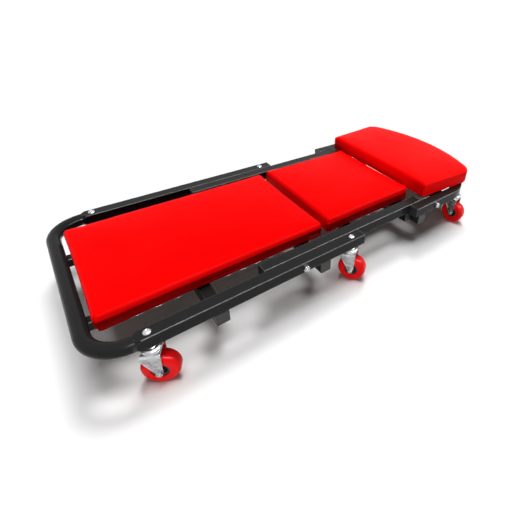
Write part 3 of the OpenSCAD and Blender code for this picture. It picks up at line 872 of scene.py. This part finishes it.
@dataclass
class StuffedPad:
    """A foam pad on a board, under a vinyl cover that is pulled down, folded at the corners and stapled."""

    name: str
    cushion: str
    board: str
    body: str
    corners: tuple[Corner, ...]
    voxel: float = 4.0 * MM
    slack: float = 1.4 * MM
    cap: float = 5.0 * MM
    pressure: float = 4.0
    fill: float = 0.85
    passes: int = 1
    hold: float = 0.94
    square_foot: float = 2.6 * MM
    held_height: float = 7 * MM
    foot_height: float = 14 * MM
    pocket_gap: float = 0.4 * MM
    steps: int = 20
    fold_from_arc: float = 1.6 * MM
    fold_depth: float = 1.7 * MM
    fold_width: float = 0.85 * MM
    fold_top: float = 0.74
    fold_skin: float = 5.0 * MM
    fold_reach: float = 7 * MM
    fold_lean: float = 3.4 * MM

    def build(self, finishes: Finishes) -> bpy.types.Object:
        """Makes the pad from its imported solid.

        Args:
            finishes: the drawn finishes.

        Returns:
            The finished pad.
        """
        low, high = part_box(self.cushion)
        form = self._form()
        pad = self._block(form)
        self._swell(pad, low.z)
        self._finish_surface(pad, form, low.z)
        self._cut_pocket(pad)
        self._fold_corners(pad, low.z, high.z)
        smooth(pad, 50)
        dress(pad, finishes[Slot.VINYL])
        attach(pad, self.body)
        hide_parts(self.cushion)
        LOG.info("%s: %d faces on %s", self.name, len(pad.data.polygons), self.body)
        return pad

    def _form(self) -> bpy.types.Object:
        """The pad's form: the solid with its pocket closed."""
        shell = merged_copy(self.cushion, "shell")
        filler = self._board_block("filler", (1.012, 1.012), 3 * MM)
        low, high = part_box(self.cushion)
        middle, size = (low + high) / 2, high - low
        with editing(shell):
            choose(shell, lambda c: c.z < low.z + 1 * MM, "VERT")
            grow = (1 + 2 * self.square_foot / size.x, 1 + 2 * self.square_foot / size.y, 1.0)
            bpy.ops.transform.resize(value=grow, center_override=middle)
        return joined([shell, filler], "form")

    def _board_block(self, name: str, grow: tuple[float, float], move: float) -> bpy.types.Object:
        """The board's hull, grown along X and Y, with its top or its underside moved out.

        Args:
            name: the block's name.
            grow: how many times as long and as wide it becomes.
            move: how far its top goes up, or its underside down where this is below 0.

        Returns:
            The block.
        """
        low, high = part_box(self.board)
        middle = (low + high) / 2
        block = merged_copy(self.board, name)
        with editing(block):
            bpy.ops.mesh.select_all(action="SELECT")
            bpy.ops.mesh.convex_hull()
            bpy.ops.transform.resize(value=(*grow, 1.0), center_override=middle)
            choose(block, lambda c: (c.z - middle.z) * move > 0, "VERT")
            bpy.ops.transform.translate(value=(0, 0, move))
        return block

    def _block(self, form: bpy.types.Object) -> bpy.types.Object:
        """The foam's block: the form, a little small, in even squares.

        Args:
            form: the pad's form.

        Returns:
            The block.
        """
        pad = duplicate(form, self.name)
        modifier = pad.modifiers.new("squares", "REMESH")
        modifier.mode = "VOXEL"
        modifier.voxel_size = self.voxel
        modifier = pad.modifiers.new("slack", "DISPLACE")
        modifier.direction = "NORMAL"
        modifier.mid_level = 0.0
        modifier.strength = -self.slack
        apply_all(pad)
        return pad

    def _swell(self, pad: bpy.types.Object, floor: float) -> None:
        """Blows the cover up from inside, held along its underside, and limits how far each point goes.

        Args:
            pad: the block.
            floor: the height of its underside.
        """
        mesh = pad.data
        start = read(mesh.vertices, "co", 3)
        held = pad.vertex_groups.new(name="held")
        held.add([int(i) for i in np.nonzero(start[:, 2] < floor + self.held_height)[0]], 1.0, "REPLACE")
        modifier = pad.modifiers.new("cover", "CLOTH")
        cloth = modifier.settings
        cloth.quality = 5
        cloth.mass = 0.3
        cloth.tension_stiffness = cloth.compression_stiffness = 25
        cloth.shear_stiffness = 12
        cloth.bending_stiffness = 4
        cloth.vertex_group_mass = "held"
        cloth.use_pressure = True
        cloth.uniform_pressure_force = self.pressure
        cloth.effector_weights.gravity = 0.0
        modifier.collision_settings.use_self_collision = False
        modifier.point_cache.frame_start, modifier.point_cache.frame_end = 1, self.steps
        for frame in range(1, self.steps + 1):
            bpy.context.scene.frame_set(frame)
        apply_all(pad)
        bpy.context.scene.frame_set(1)
        move = read(pad.data.vertices, "co", 3) - start
        length = np.linalg.norm(move, axis=1, keepdims=True)
        share = self.cap * np.tanh(length / self.cap) / np.maximum(length, 1e-9)
        pad.data.vertices.foreach_set("co", (start + move * share).astype(np.float32).ravel())
        LOG.info("%s: the cover swelled by up to %.1f mm", self.name, float((length * share).max()) / MM)

    def _finish_surface(self, pad: bpy.types.Object, form: bpy.types.Object, floor: float) -> None:
        """Evens the cover out, subdivides it once, and draws it tight over the foam's edges.

        Args:
            pad: the swollen block.
            form: the pad's form, which is used up.
            floor: the height of its underside.
        """
        with editing(pad):
            bpy.ops.mesh.select_all(action="SELECT")
            bpy.ops.mesh.vertices_smooth(factor=0.5, repeat=self.passes)
        pad.modifiers.new("finer", "SUBSURF").levels = 1
        pad.modifiers["finer"].render_levels = 1
        apply_all(pad)
        loose = read(pad.data.vertices, "co", 3)
        tight = pad.modifiers.new("tight", "SHRINKWRAP")
        tight.target = form
        apply_all(pad)
        points = read(pad.data.vertices, "co", 3)
        share = self.hold + (1 - self.hold) * np.clip(1.3 - (loose[:, 2:3] - floor) / self.foot_height, 0, 1)
        points = loose + (points - loose) * share
        pad.data.vertices.foreach_set("co", points.astype(np.float32).ravel())
        pad.data.update()
        discard(form)

    def _cut_pocket(self, pad: bpy.types.Object) -> None:
        """Cuts the pocket that the board sits in.

        Args:
            pad: the covered pad.
        """
        low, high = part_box(self.board)
        size = high - low
        grow = (1 + self.pocket_gap / size.x, 1 + self.pocket_gap / size.y)
        cutter = self._board_block("cutter", grow, -5 * MM)
        modifier = pad.modifiers.new("pocket", "BOOLEAN")
        modifier.object = cutter
        modifier.operation = "DIFFERENCE"
        modifier.solver = "EXACT"
        apply_all(pad)
        discard(cutter)

    def _fold_corners(self, pad: bpy.types.Object, floor: float, top: float) -> None:
        """Presses one fold in beside each corner, and stores where its groove is as the attribute crease, where
        the vinyl paints shade.

        Args:
            pad: the covered pad.
            floor: the height of its underside.
            top: the height of its crown.
        """
        with editing(pad):
            for corner in self.corners:
                choose(pad, lambda c: self._in_fold(c, corner) and c.z < top - 3 * MM)
                bpy.ops.mesh.subdivide(number_cuts=2)
        crease = np.zeros(len(pad.data.vertices), np.float32)
        for vertex in pad.data.vertices:
            for corner in self.corners:
                if not self._in_fold(vertex.co, corner):
                    continue
                along, depth, out = corner.unrolled(vertex.co)
                up = (vertex.co.z - floor) / (top - floor)
                bend = min(1.0, max(0.0, (up - self.fold_top + 0.2) / 0.2))
                line = -math.pi / 4 * corner.radius - self.fold_from_arc + bend * bend * self.fold_lean
                gap = along - line
                strength = min(1.0, max(0.0, (self.fold_top - up) / 0.08 + 1))
                strength *= max(0.0, 1 - depth / self.fold_skin)
                groove = math.exp(-((gap / self.fold_width) ** 2))
                lip = math.exp(-(((gap - 2.2 * self.fold_width) / (1.5 * self.fold_width)) ** 2))
                vertex.co += out * strength * (0.35 * lip - groove) * self.fold_depth
                # The groove's mask, where the vinyl's colour is darkened as painted shade.
                crease[vertex.index] = max(crease[vertex.index], groove * strength)
        attribute = pad.data.attributes.new("crease", "FLOAT", "POINT")
        attribute.data.foreach_set("value", crease)
        pad.data.update()

    def _in_fold(self, place: Vector, corner: Corner) -> bool:
        """Whether a place is near a corner's fold, in the skin of the cover."""
        along, depth, _ = corner.unrolled(place)
        near = abs(along + math.pi / 4 * corner.radius) < self.fold_reach
        return near and -2 * MM < depth < self.fold_skin


@dataclass(frozen=True)
class Seam:
    """A straight weld between two points, with the radius of its bead."""

    start: Point
    end: Point
    radius: float = 1.7 * MM


@dataclass
class WeldBeads:
    """Welds where the tubes meet: rows of overlapping ripples under the same coat."""

    name: str
    body: str
    seams: tuple[Seam, ...]
    pitch: float = 1.5 * MM

    def build(self, finishes: Finishes) -> bpy.types.Object:
        """Lays every bead and joins them into one piece.

        Args:
            finishes: the drawn finishes.

        Returns:
            The finished welds.
        """
        ripple = self._ripple()
        beads = [self._bead(ripple, seam) for seam in self.seams]
        discard(ripple)
        return small_work(beads, self.name, 60, finishes[Slot.STEEL], self.body)

    @staticmethod
    def _ripple() -> bpy.types.Object:
        """One ripple of a bead: a coin of unit radius with a low crown, leaning along the seam."""
        deselect()
        bpy.ops.mesh.primitive_uv_sphere_add(segments=10, ring_count=6, radius=1.0, location=(0, 0, 0))
        ripple = added("ripple")
        with editing(ripple):
            bpy.ops.mesh.select_all(action="SELECT")
            bpy.ops.transform.resize(value=(0.8, 1.0, 0.8))
            choose(ripple, lambda c: c.z > 0.5, "VERT")
            bpy.ops.transform.translate(value=(0.25, 0, 0))
        return ripple

    def _bead(self, ripple: bpy.types.Object, seam: Seam) -> bpy.types.Object:
        """Copies the ripple along a seam.

        Args:
            ripple: the ripple to copy.
            seam: where the weld runs.

        Returns:
            The bead, with its place in its mesh.
        """
        start, way = Vector(seam.start), Vector(seam.end) - Vector(seam.start)
        bead = duplicate(ripple, "bead")
        bead.location = start
        bead.rotation_euler = way.to_track_quat("X", "Z").to_euler()
        bead.scale = (seam.radius,) * 3
        row = bead.modifiers.new("row", "ARRAY")
        row.count = max(2, round(way.length / self.pitch) + 1)
        row.use_relative_offset = False
        row.use_constant_offset = True
        row.constant_offset_displace = (way.length / (row.count - 1) / seam.radius, 0, 0)
        apply_all(bead)
        settle(bead)
        return bead


@dataclass
class Staples:
    """Wire staples that hold a cover to the underside of its board."""

    name: str
    body: str
    cushion: str
    clear_of: tuple[tuple[float, float], ...]
    inset: float = 5.2 * MM
    every: float = 32.0 * MM
    crown: float = 10.0 * MM
    wire: float = 0.9 * MM

    def build(self, finishes: Finishes) -> bpy.types.Object:
        """Drives the staples round the pad.

        Args:
            finishes: the drawn finishes.

        Returns:
            The finished staples.
        """
        first = self._staple()
        made = [self._copy(first, x, y, turn) for x, y, turn in self._places()]
        discard(first)
        return small_work(made, self.name, 40, finishes[Slot.ZINC], self.body)

    def _places(self) -> Iterator[tuple[float, float, float]]:
        """Where each staple goes: x, y and its turn, spaced evenly along the four sides."""
        low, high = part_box(self.cushion)
        for way, turn in ((0, 0.0), (1, 90.0)):
            across = 1 - way
            count = round((high[way] - low[way]) / self.every)
            for k in range(1, count):
                along = low[way] + (high[way] - low[way]) * k / count
                for edge in (low[across] + self.inset, high[across] - self.inset):
                    x, y = (along, edge) if way == 0 else (edge, along)
                    if not any(a - self.crown < x < b + self.crown for a, b in self.clear_of):
                        yield x, y, turn

    def _staple(self) -> bpy.types.Object:
        """One staple along X: a flattened wire whose ends turn up into the board."""
        deselect()
        bpy.ops.mesh.primitive_cube_add(size=1.0, location=(0, 0, 0))
        staple = added("staple")
        with editing(staple):
            bpy.ops.mesh.select_all(action="SELECT")
            bpy.ops.transform.resize(value=(self.crown, self.wire, self.wire), center_override=(0, 0, 0))
            for side in (-1, 1):
                choose(staple, lambda c: c.x * side > self.crown * 0.4)
                bpy.ops.mesh.extrude_region_move(TRANSFORM_OT_translate={"value": (side * self.wire, 0, 0)})
                choose(staple, lambda c: c.x * side > self.crown * 0.5 and c.z > self.wire * 0.4)
                bpy.ops.mesh.extrude_region_move(TRANSFORM_OT_translate={"value": (0, 0, self.wire)})
        modifier = staple.modifiers.new("round", "BEVEL")
        modifier.width = self.wire * 0.3
        modifier.segments = 2
        apply_all(staple)
        return staple

    def _copy(self, staple: bpy.types.Object, x: float, y: float, turn: float) -> bpy.types.Object:
        """Copies a staple to its place, turned and with its own mesh."""
        copy = duplicate(staple, "staple_copy")
        copy.location = (x, y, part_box(self.cushion)[0].z)
        copy.rotation_euler.z = math.radians(turn)
        return copy


# Studio


@dataclass(frozen=True)
class StudioCamera:
    """The camera, where the photograph was taken from."""

    place: Point = (-0.4528, -0.6715, 0.6110)
    yaw: float = 48.456
    down: float = 31.482
    roll: float = 4.082
    lens: float = 26.2
    shift: tuple[float, float] = (-0.1597, -0.1114)

    def build(self) -> None:
        """Adds the camera and makes it the scene's."""
        data = bpy.data.cameras.new("camera")
        data.lens, data.sensor_width = self.lens, 36.0
        data.shift_x, data.shift_y = self.shift
        data.clip_start, data.clip_end = 0.01, 100.0
        camera = bpy.data.objects.new("camera", data)
        bpy.context.scene.collection.objects.link(camera)
        yaw, down = math.radians(self.yaw), math.radians(self.down)
        forward = Vector((math.cos(yaw) * math.cos(down), math.sin(yaw) * math.cos(down), -math.sin(down)))
        turned = forward.to_track_quat("-Z", "Y").to_matrix() @ Matrix.Rotation(math.radians(self.roll), 3, "Z")
        camera.location = self.place
        camera.rotation_euler = turned.to_euler()
        bpy.context.scene.camera = camera


@dataclass(frozen=True)
class Lamp:
    """One lamp: an area lamp that points at the object, or a sun."""

    name: str
    kind: str
    place: Point
    power: float
    size: tuple[float, float] = (1.0, 1.0)
    spread: float = 30.0
    aim: Point = (0.0, 0.0, 0.1)
    glossy: bool = True
    diffuse: bool = True

    def build(self) -> None:
        """Adds the lamp."""
        data = bpy.data.lights.new(self.name, self.kind)
        data.energy = self.power
        if self.kind == "SUN":
            data.angle = math.radians(self.spread)
        else:
            data.shape = "RECTANGLE"
            data.size, data.size_y = self.size
        lamp = bpy.data.objects.new(self.name, data)
        bpy.context.scene.collection.objects.link(lamp)
        lamp.location = self.place
        lamp.rotation_euler = (Vector(self.aim) - Vector(self.place)).to_track_quat("-Z", "Y").to_euler()
        lamp.visible_camera = False
        lamp.visible_glossy = self.glossy
        lamp.visible_diffuse = self.diffuse


@dataclass(frozen=True)
class Studio:
    """A white floor in a white room, under two suns from above and two area lamps on the near side."""

    floor_colour: Colour = (0.93, 0.93, 0.93, 1)
    floor_bounce: Colour = (0.3, 0.3, 0.3, 1)
    ambient: float = 0.035
    lamps: tuple[Lamp, ...] = (
        Lamp("overhead", "SUN", (0.0, 0.0, 2.0), 2.05, spread=30, aim=(0.0, 0.0, 0.0), glossy=False),
        Lamp("key", "SUN", (0.68, 0.8, 2.0), 1.45, spread=16, aim=(0.0, 0.0, 0.0), glossy=False),
        Lamp("near_fill", "AREA", (-0.9, -1.9, 0.13), 22.0, size=(3.0, 0.1), glossy=False),
        Lamp("near_strip", "AREA", (0.9, -1.3, 1.35), 90.0, size=(3.2, 0.3), aim=(0.9, 0.0, 0.1), diffuse=False),
    )

    def build(self) -> None:
        """Adds the floor, the world and the lamps."""
        self._floor()
        self._world()
        for lamp in self.lamps:
            lamp.build()
        bpy.context.scene.view_settings.view_transform = "Standard"

    def _floor(self) -> None:
        """Adds the floor: white where it is seen or mirrored, and a plain grey that throws less light back."""
        deselect()
        bpy.ops.mesh.primitive_plane_add(size=60, location=(0, 0, 0))
        floor = added("floor")
        material = bpy.data.materials.new("floor")
        material.use_nodes = True
        sheet = Sheet(material.node_tree)
        sheet.tree.nodes.clear()
        path = sheet.add("LightPath")
        colour = sheet.mix(path.outputs["Is Diffuse Ray"], self.floor_colour, self.floor_bounce)
        diffuse = sheet.add("BsdfDiffuse", {"Color": colour})
        sheet.add("OutputMaterial", {"Surface": diffuse.outputs[0]})
        floor.data.materials.append(material)

    @staticmethod
    def _seen(sheet: Sheet, path: bpy.types.Node) -> bpy.types.NodeSocket:
        """Whether a ray comes from the camera, a mirror or a glass, as 1 or 0."""
        mirror = sheet.math("MAXIMUM", path.outputs["Is Glossy Ray"], path.outputs["Is Transmission Ray"])
        return sheet.math("MAXIMUM", path.outputs["Is Camera Ray"], mirror)

    def _world(self) -> None:
        """Draws the world: white where it is seen or mirrored, and a low even fill otherwise."""
        world = bpy.data.worlds.new("studio")
        world.use_nodes = True
        bpy.context.scene.world = world
        sheet = Sheet(world.node_tree)
        sheet.tree.nodes.clear()
        seen = self._seen(sheet, sheet.add("LightPath"))
        strength = sheet.spread(seen, 0, 1, self.ambient, 1.0)
        back = sheet.add("Background", {"Color": (1, 1, 1, 1), "Strength": strength})
        sheet.add("OutputWorld", {"Surface": back.outputs[0]})


@dataclass
class Caster:
    """A swivel caster: a pressed fork on its axle, and a wheel with a moulded tread."""

    name: str
    centre: Vector
    axis: Vector
    panel_inset: float = 2.6 * MM
    panel_depth: float = 0.9 * MM
    panel_foot: float = 11 * MM
    panel_share: float = 0.46
    leg_reach: float = 14 * MM
    flat_half: float = 7.5 * MM
    made: list[bpy.types.Object] = field(default_factory=list)

    def build(self, finishes: Finishes) -> None:
        """Finishes the fork and its axle, the hub and the tread.

        Args:
            finishes: the drawn finishes.
        """
        fork, wheel = f"{self.name}_caster", f"{self.name}_wheel"
        parts = (("fork", fork, Slot.ZINC, 0.4 * MM), ("axle", fork, Slot.ZINC, 0.3 * MM),
                 ("hub", wheel, Slot.PLASTIC, 0.5 * MM), ("tread", wheel, Slot.TREAD, 0.4 * MM))
        for node, body, slot, edge in parts:
            solid = f"{self.name}_{node}"
            piece = merged_copy(solid, f"{solid}.finished")
            if node == "fork":
                self._press_panels(piece)
            break_edges(piece, edge)
            if node == "tread":
                self._mark_rolled(piece)
            dress(piece, finishes[slot])
            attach(piece, body)
            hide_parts(solid)
            self.made.append(piece)
        LOG.info("%s caster: %d pieces on %s and %s", self.name, len(self.made), fork, wheel)

    def _press_panels(self, fork: bpy.types.Object) -> None:
        """Presses a shallow panel into each leg of the fork, between its crown and its axle.

        Args:
            fork: the fork's copy.
        """
        low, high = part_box(f"{self.name}_fork")
        foot = self.centre.z + self.panel_foot
        brow = foot + self.panel_share * (high.z - foot)
        with editing(fork):
            for side in (-1, 1):
                out = self.axis * side
                for height in (foot, brow):
                    bpy.ops.mesh.select_all(action="DESELECT")
                    self._pick_leg(fork, out, low.z, high.z)
                    bpy.ops.mesh.bisect(plane_co=(self.centre.x, self.centre.y, height), plane_no=(0, 0, 1))
                if self._pick_leg(fork, out, foot, brow):
                    bpy.ops.mesh.dissolve_faces()
                    for thickness, depth in ((self.panel_inset, 0.0), (self.panel_depth, -self.panel_depth)):
                        bpy.ops.mesh.inset(thickness=thickness, depth=depth, use_even_offset=False)

    def _pick_leg(self, fork: bpy.types.Object, out: Vector, bottom: float, top: float) -> int:
        """Selects the outer face of one leg between two heights.

        Args:
            fork: the fork's copy, in edit mode.
            out: the way that the leg faces.
            bottom: the lower height.
            top: the upper height.

        Returns:
            How many faces were selected.
        """
        bpy.ops.object.mode_set(mode="OBJECT")
        count = 0
        for face in fork.data.polygons:
            outer = face.normal.dot(out) > 0.999 and (face.center - self.centre).dot(out) > self.leg_reach
            face.select = outer and bottom < face.center.z < top
            count += face.select
        bpy.ops.object.mode_set(mode="EDIT")
        return count

    def _mark_rolled(self, tread: bpy.types.Object) -> None:
        """Stores where the tread rolls, as the attribute rolled.

        Args:
            tread: the tread's copy.
        """
        rolled = np.zeros(len(tread.data.polygons), np.float32)
        for face in tread.data.polygons:
            central = abs((face.center - self.centre).dot(self.axis)) < self.flat_half
            rolled[face.index] = central and abs(face.normal.dot(self.axis)) < 0.3
        tread.data.attributes.new("rolled", "FLOAT", "FACE").data.foreach_set("value", rolled)


class CreeperSeat:
    """The whole seat: its hardware, welds, casters and three pads."""

    def __init__(self, frame: dict[str, object]) -> None:
        """Lists the sub-assemblies.

        Args:
            frame: the loaded frame, whose record says which solids a body holds and what they are made of.
        """
        bodies = frame["record"]["behaviour"]["bodies"]
        slots = {part["node"]: Slot(part["material_slot"]) for part in frame["record"]["subparts"]}
        self.hardware = [Hardware(body, slot, tuple(node for node in bodies[body] if slots[node] is slot))
                         for body in ("base", "middle", "head") for slot in BROKEN_EDGES]
        wheels = {joint["child"]: joint for joint in frame["joints"] if str(joint["child"]).endswith("_wheel")}
        self.casters = [Caster(body.removesuffix("_wheel"), Vector(joint["pos_m"]),
                               Vector(joint["axis"]).normalized()) for body, joint in wheels.items()]

    @staticmethod
    def _corners(x: float, half: float, radius: float, way: int) -> tuple[Corner, ...]:
        """The two upright corners at one end of a pad.

        Args:
            x: where the end's wall is.
            half: half of the pad's width there.
            radius: the corners' radius.
            way: -1 for the foot end and 1 for the head end.

        Returns:
            The corners, the right one first.
        """
        return tuple(Corner(x - way * radius, side * (half - radius), radius, (way, side)) for side in (-1, 1))

    def pads(self) -> list[StuffedPad]:
        """The three pads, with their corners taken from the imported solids."""
        pads = []
        for name, body in (("back_pad", "base"), ("middle_pad", "middle"), ("head_pad", "head")):
            low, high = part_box(f"{name}_cushion")
            if body == "head":
                corners = self._corners(low.x, HEAD_PAD_WIDTH / 2, HEAD_PAD_CORNER, -1)
            else:
                corners = tuple(corner for x, way in ((low.x, -1), (high.x, 1))
                                for corner in self._corners(x, high.y, PAD_CORNER, way))
            pads.append(StuffedPad(name, f"{name}_cushion", f"{name}_board", body, corners))
        return pads

    @staticmethod
    def _under_rails(bar: str, rail: str, edges: Sequence[int] = (0, 1)) -> list[Seam]:
        """The welds between a cross tube and the undersides of the two rails on it.

        Args:
            bar: the cross tube's solid.
            rail: the left rail's solid.
            edges: the tube's sides that are welded, 0 for the foot side and 1 for the head side.

        Returns:
            The seams.
        """
        (low, high), (inner, outer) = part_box(bar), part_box(rail)
        seams = []
        for edge in edges:
            x = (low.x + 0.3 * MM, high.x - 0.3 * MM)[edge]
            for side in (-1, 1):
                ends = [(x, side * y, inner.z - 0.6 * MM) for y in (inner.y + 3 * MM, outer.y - 2.5 * MM)]
                seams.append(Seam(*ends))
        return seams

    @staticmethod
    def _pad_bar_seams() -> list[Seam]:
        """The welds of the two lengthwise tubes to the foot cross tube and under the foot tube."""
        low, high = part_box("base_pad_bars")
        half = (high.z - low.z) / 2
        seams = []
        for side in (-1, 1):
            for y in (side * (high.y - 0.2 * MM), side * (high.y - 2 * half + 0.2 * MM)):
                seams.append(Seam((high.x - 0.4 * MM, y, low.z + 2 * MM), (high.x - 0.4 * MM, y, high.z - 2 * MM)))
                start, end = (low.x + 2 * MM, y, high.z - 0.7 * MM), (low.x + 8 * MM, y, high.z - 0.3 * MM)
                seams.append(Seam(start, end, 1.4 * MM))
        return seams

    @staticmethod
    def _head_cross_seams() -> list[Seam]:
        """The welds of the head's cross tube between the two sides of the head frame."""
        low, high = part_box("head_cross")
        seams = []
        for side in (-1, 1):
            y = side * (high.y - 0.4 * MM)
            for x in (low.x + 0.2 * MM, high.x - 0.2 * MM):
                seams.append(Seam((x, y, low.z + 1.5 * MM), (x, y, high.z - 2.5 * MM)))
            seams.append(Seam((low.x + 2.5 * MM, y, low.z + 0.2 * MM), (high.x - 2.5 * MM, y, low.z + 0.2 * MM)))
        return seams

    def welds(self) -> list[WeldBeads]:
        """The welds of the three parts of the frame."""
        base = (self._under_rails("base_foot_cross", "base_rail_left")
                + self._under_rails("base_stop_cross", "base_rail_left") + self._pad_bar_seams())
        middle = (self._under_rails("middle_stop_cross", "middle_rail_left", (1,)))
        return [WeldBeads("base_welds", "base", tuple(base)), WeldBeads("middle_welds", "middle", tuple(middle)),
                WeldBeads("head_welds", "head", tuple(self._head_cross_seams()))]

    @staticmethod
    def staples() -> list[Staples]:
        """The staples under the back pad and the middle pad, kept off the cross tubes below them."""
        def span(node: str) -> tuple[float, float]:
            low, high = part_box(node)
            return low.x, high.x
        foot, head = span("middle_pad_bars")
        middle = (foot, foot + PAD_BAR_WIDTH), (head - PAD_BAR_WIDTH, head), span("middle_stop_cross")
        back = span("base_foot_cross"), span("base_stop_cross")
        return [Staples("back_pad_staples", "base", "back_pad_cushion", back),
                Staples("middle_pad_staples", "middle", "middle_pad_cushion", middle)]

    def build(self, finishes: Finishes) -> None:
        """Builds every sub-assembly.

        Args:
            finishes: the drawn finishes.
        """
        for part in (*self.hardware, *self.welds(), *self.casters, *self.staples(), *self.pads()):
            part.build(finishes)


def main() -> None:
    """Loads the frame and builds the camera, the studio and the seat."""
    logging.basicConfig(level=logging.INFO, format="%(name)s: %(message)s", stream=sys.stdout)
    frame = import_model()
    StudioCamera().build()
    Studio().build()
    CreeperSeat(frame).build(Finishes())


if __name__ == "__main__":
    main()
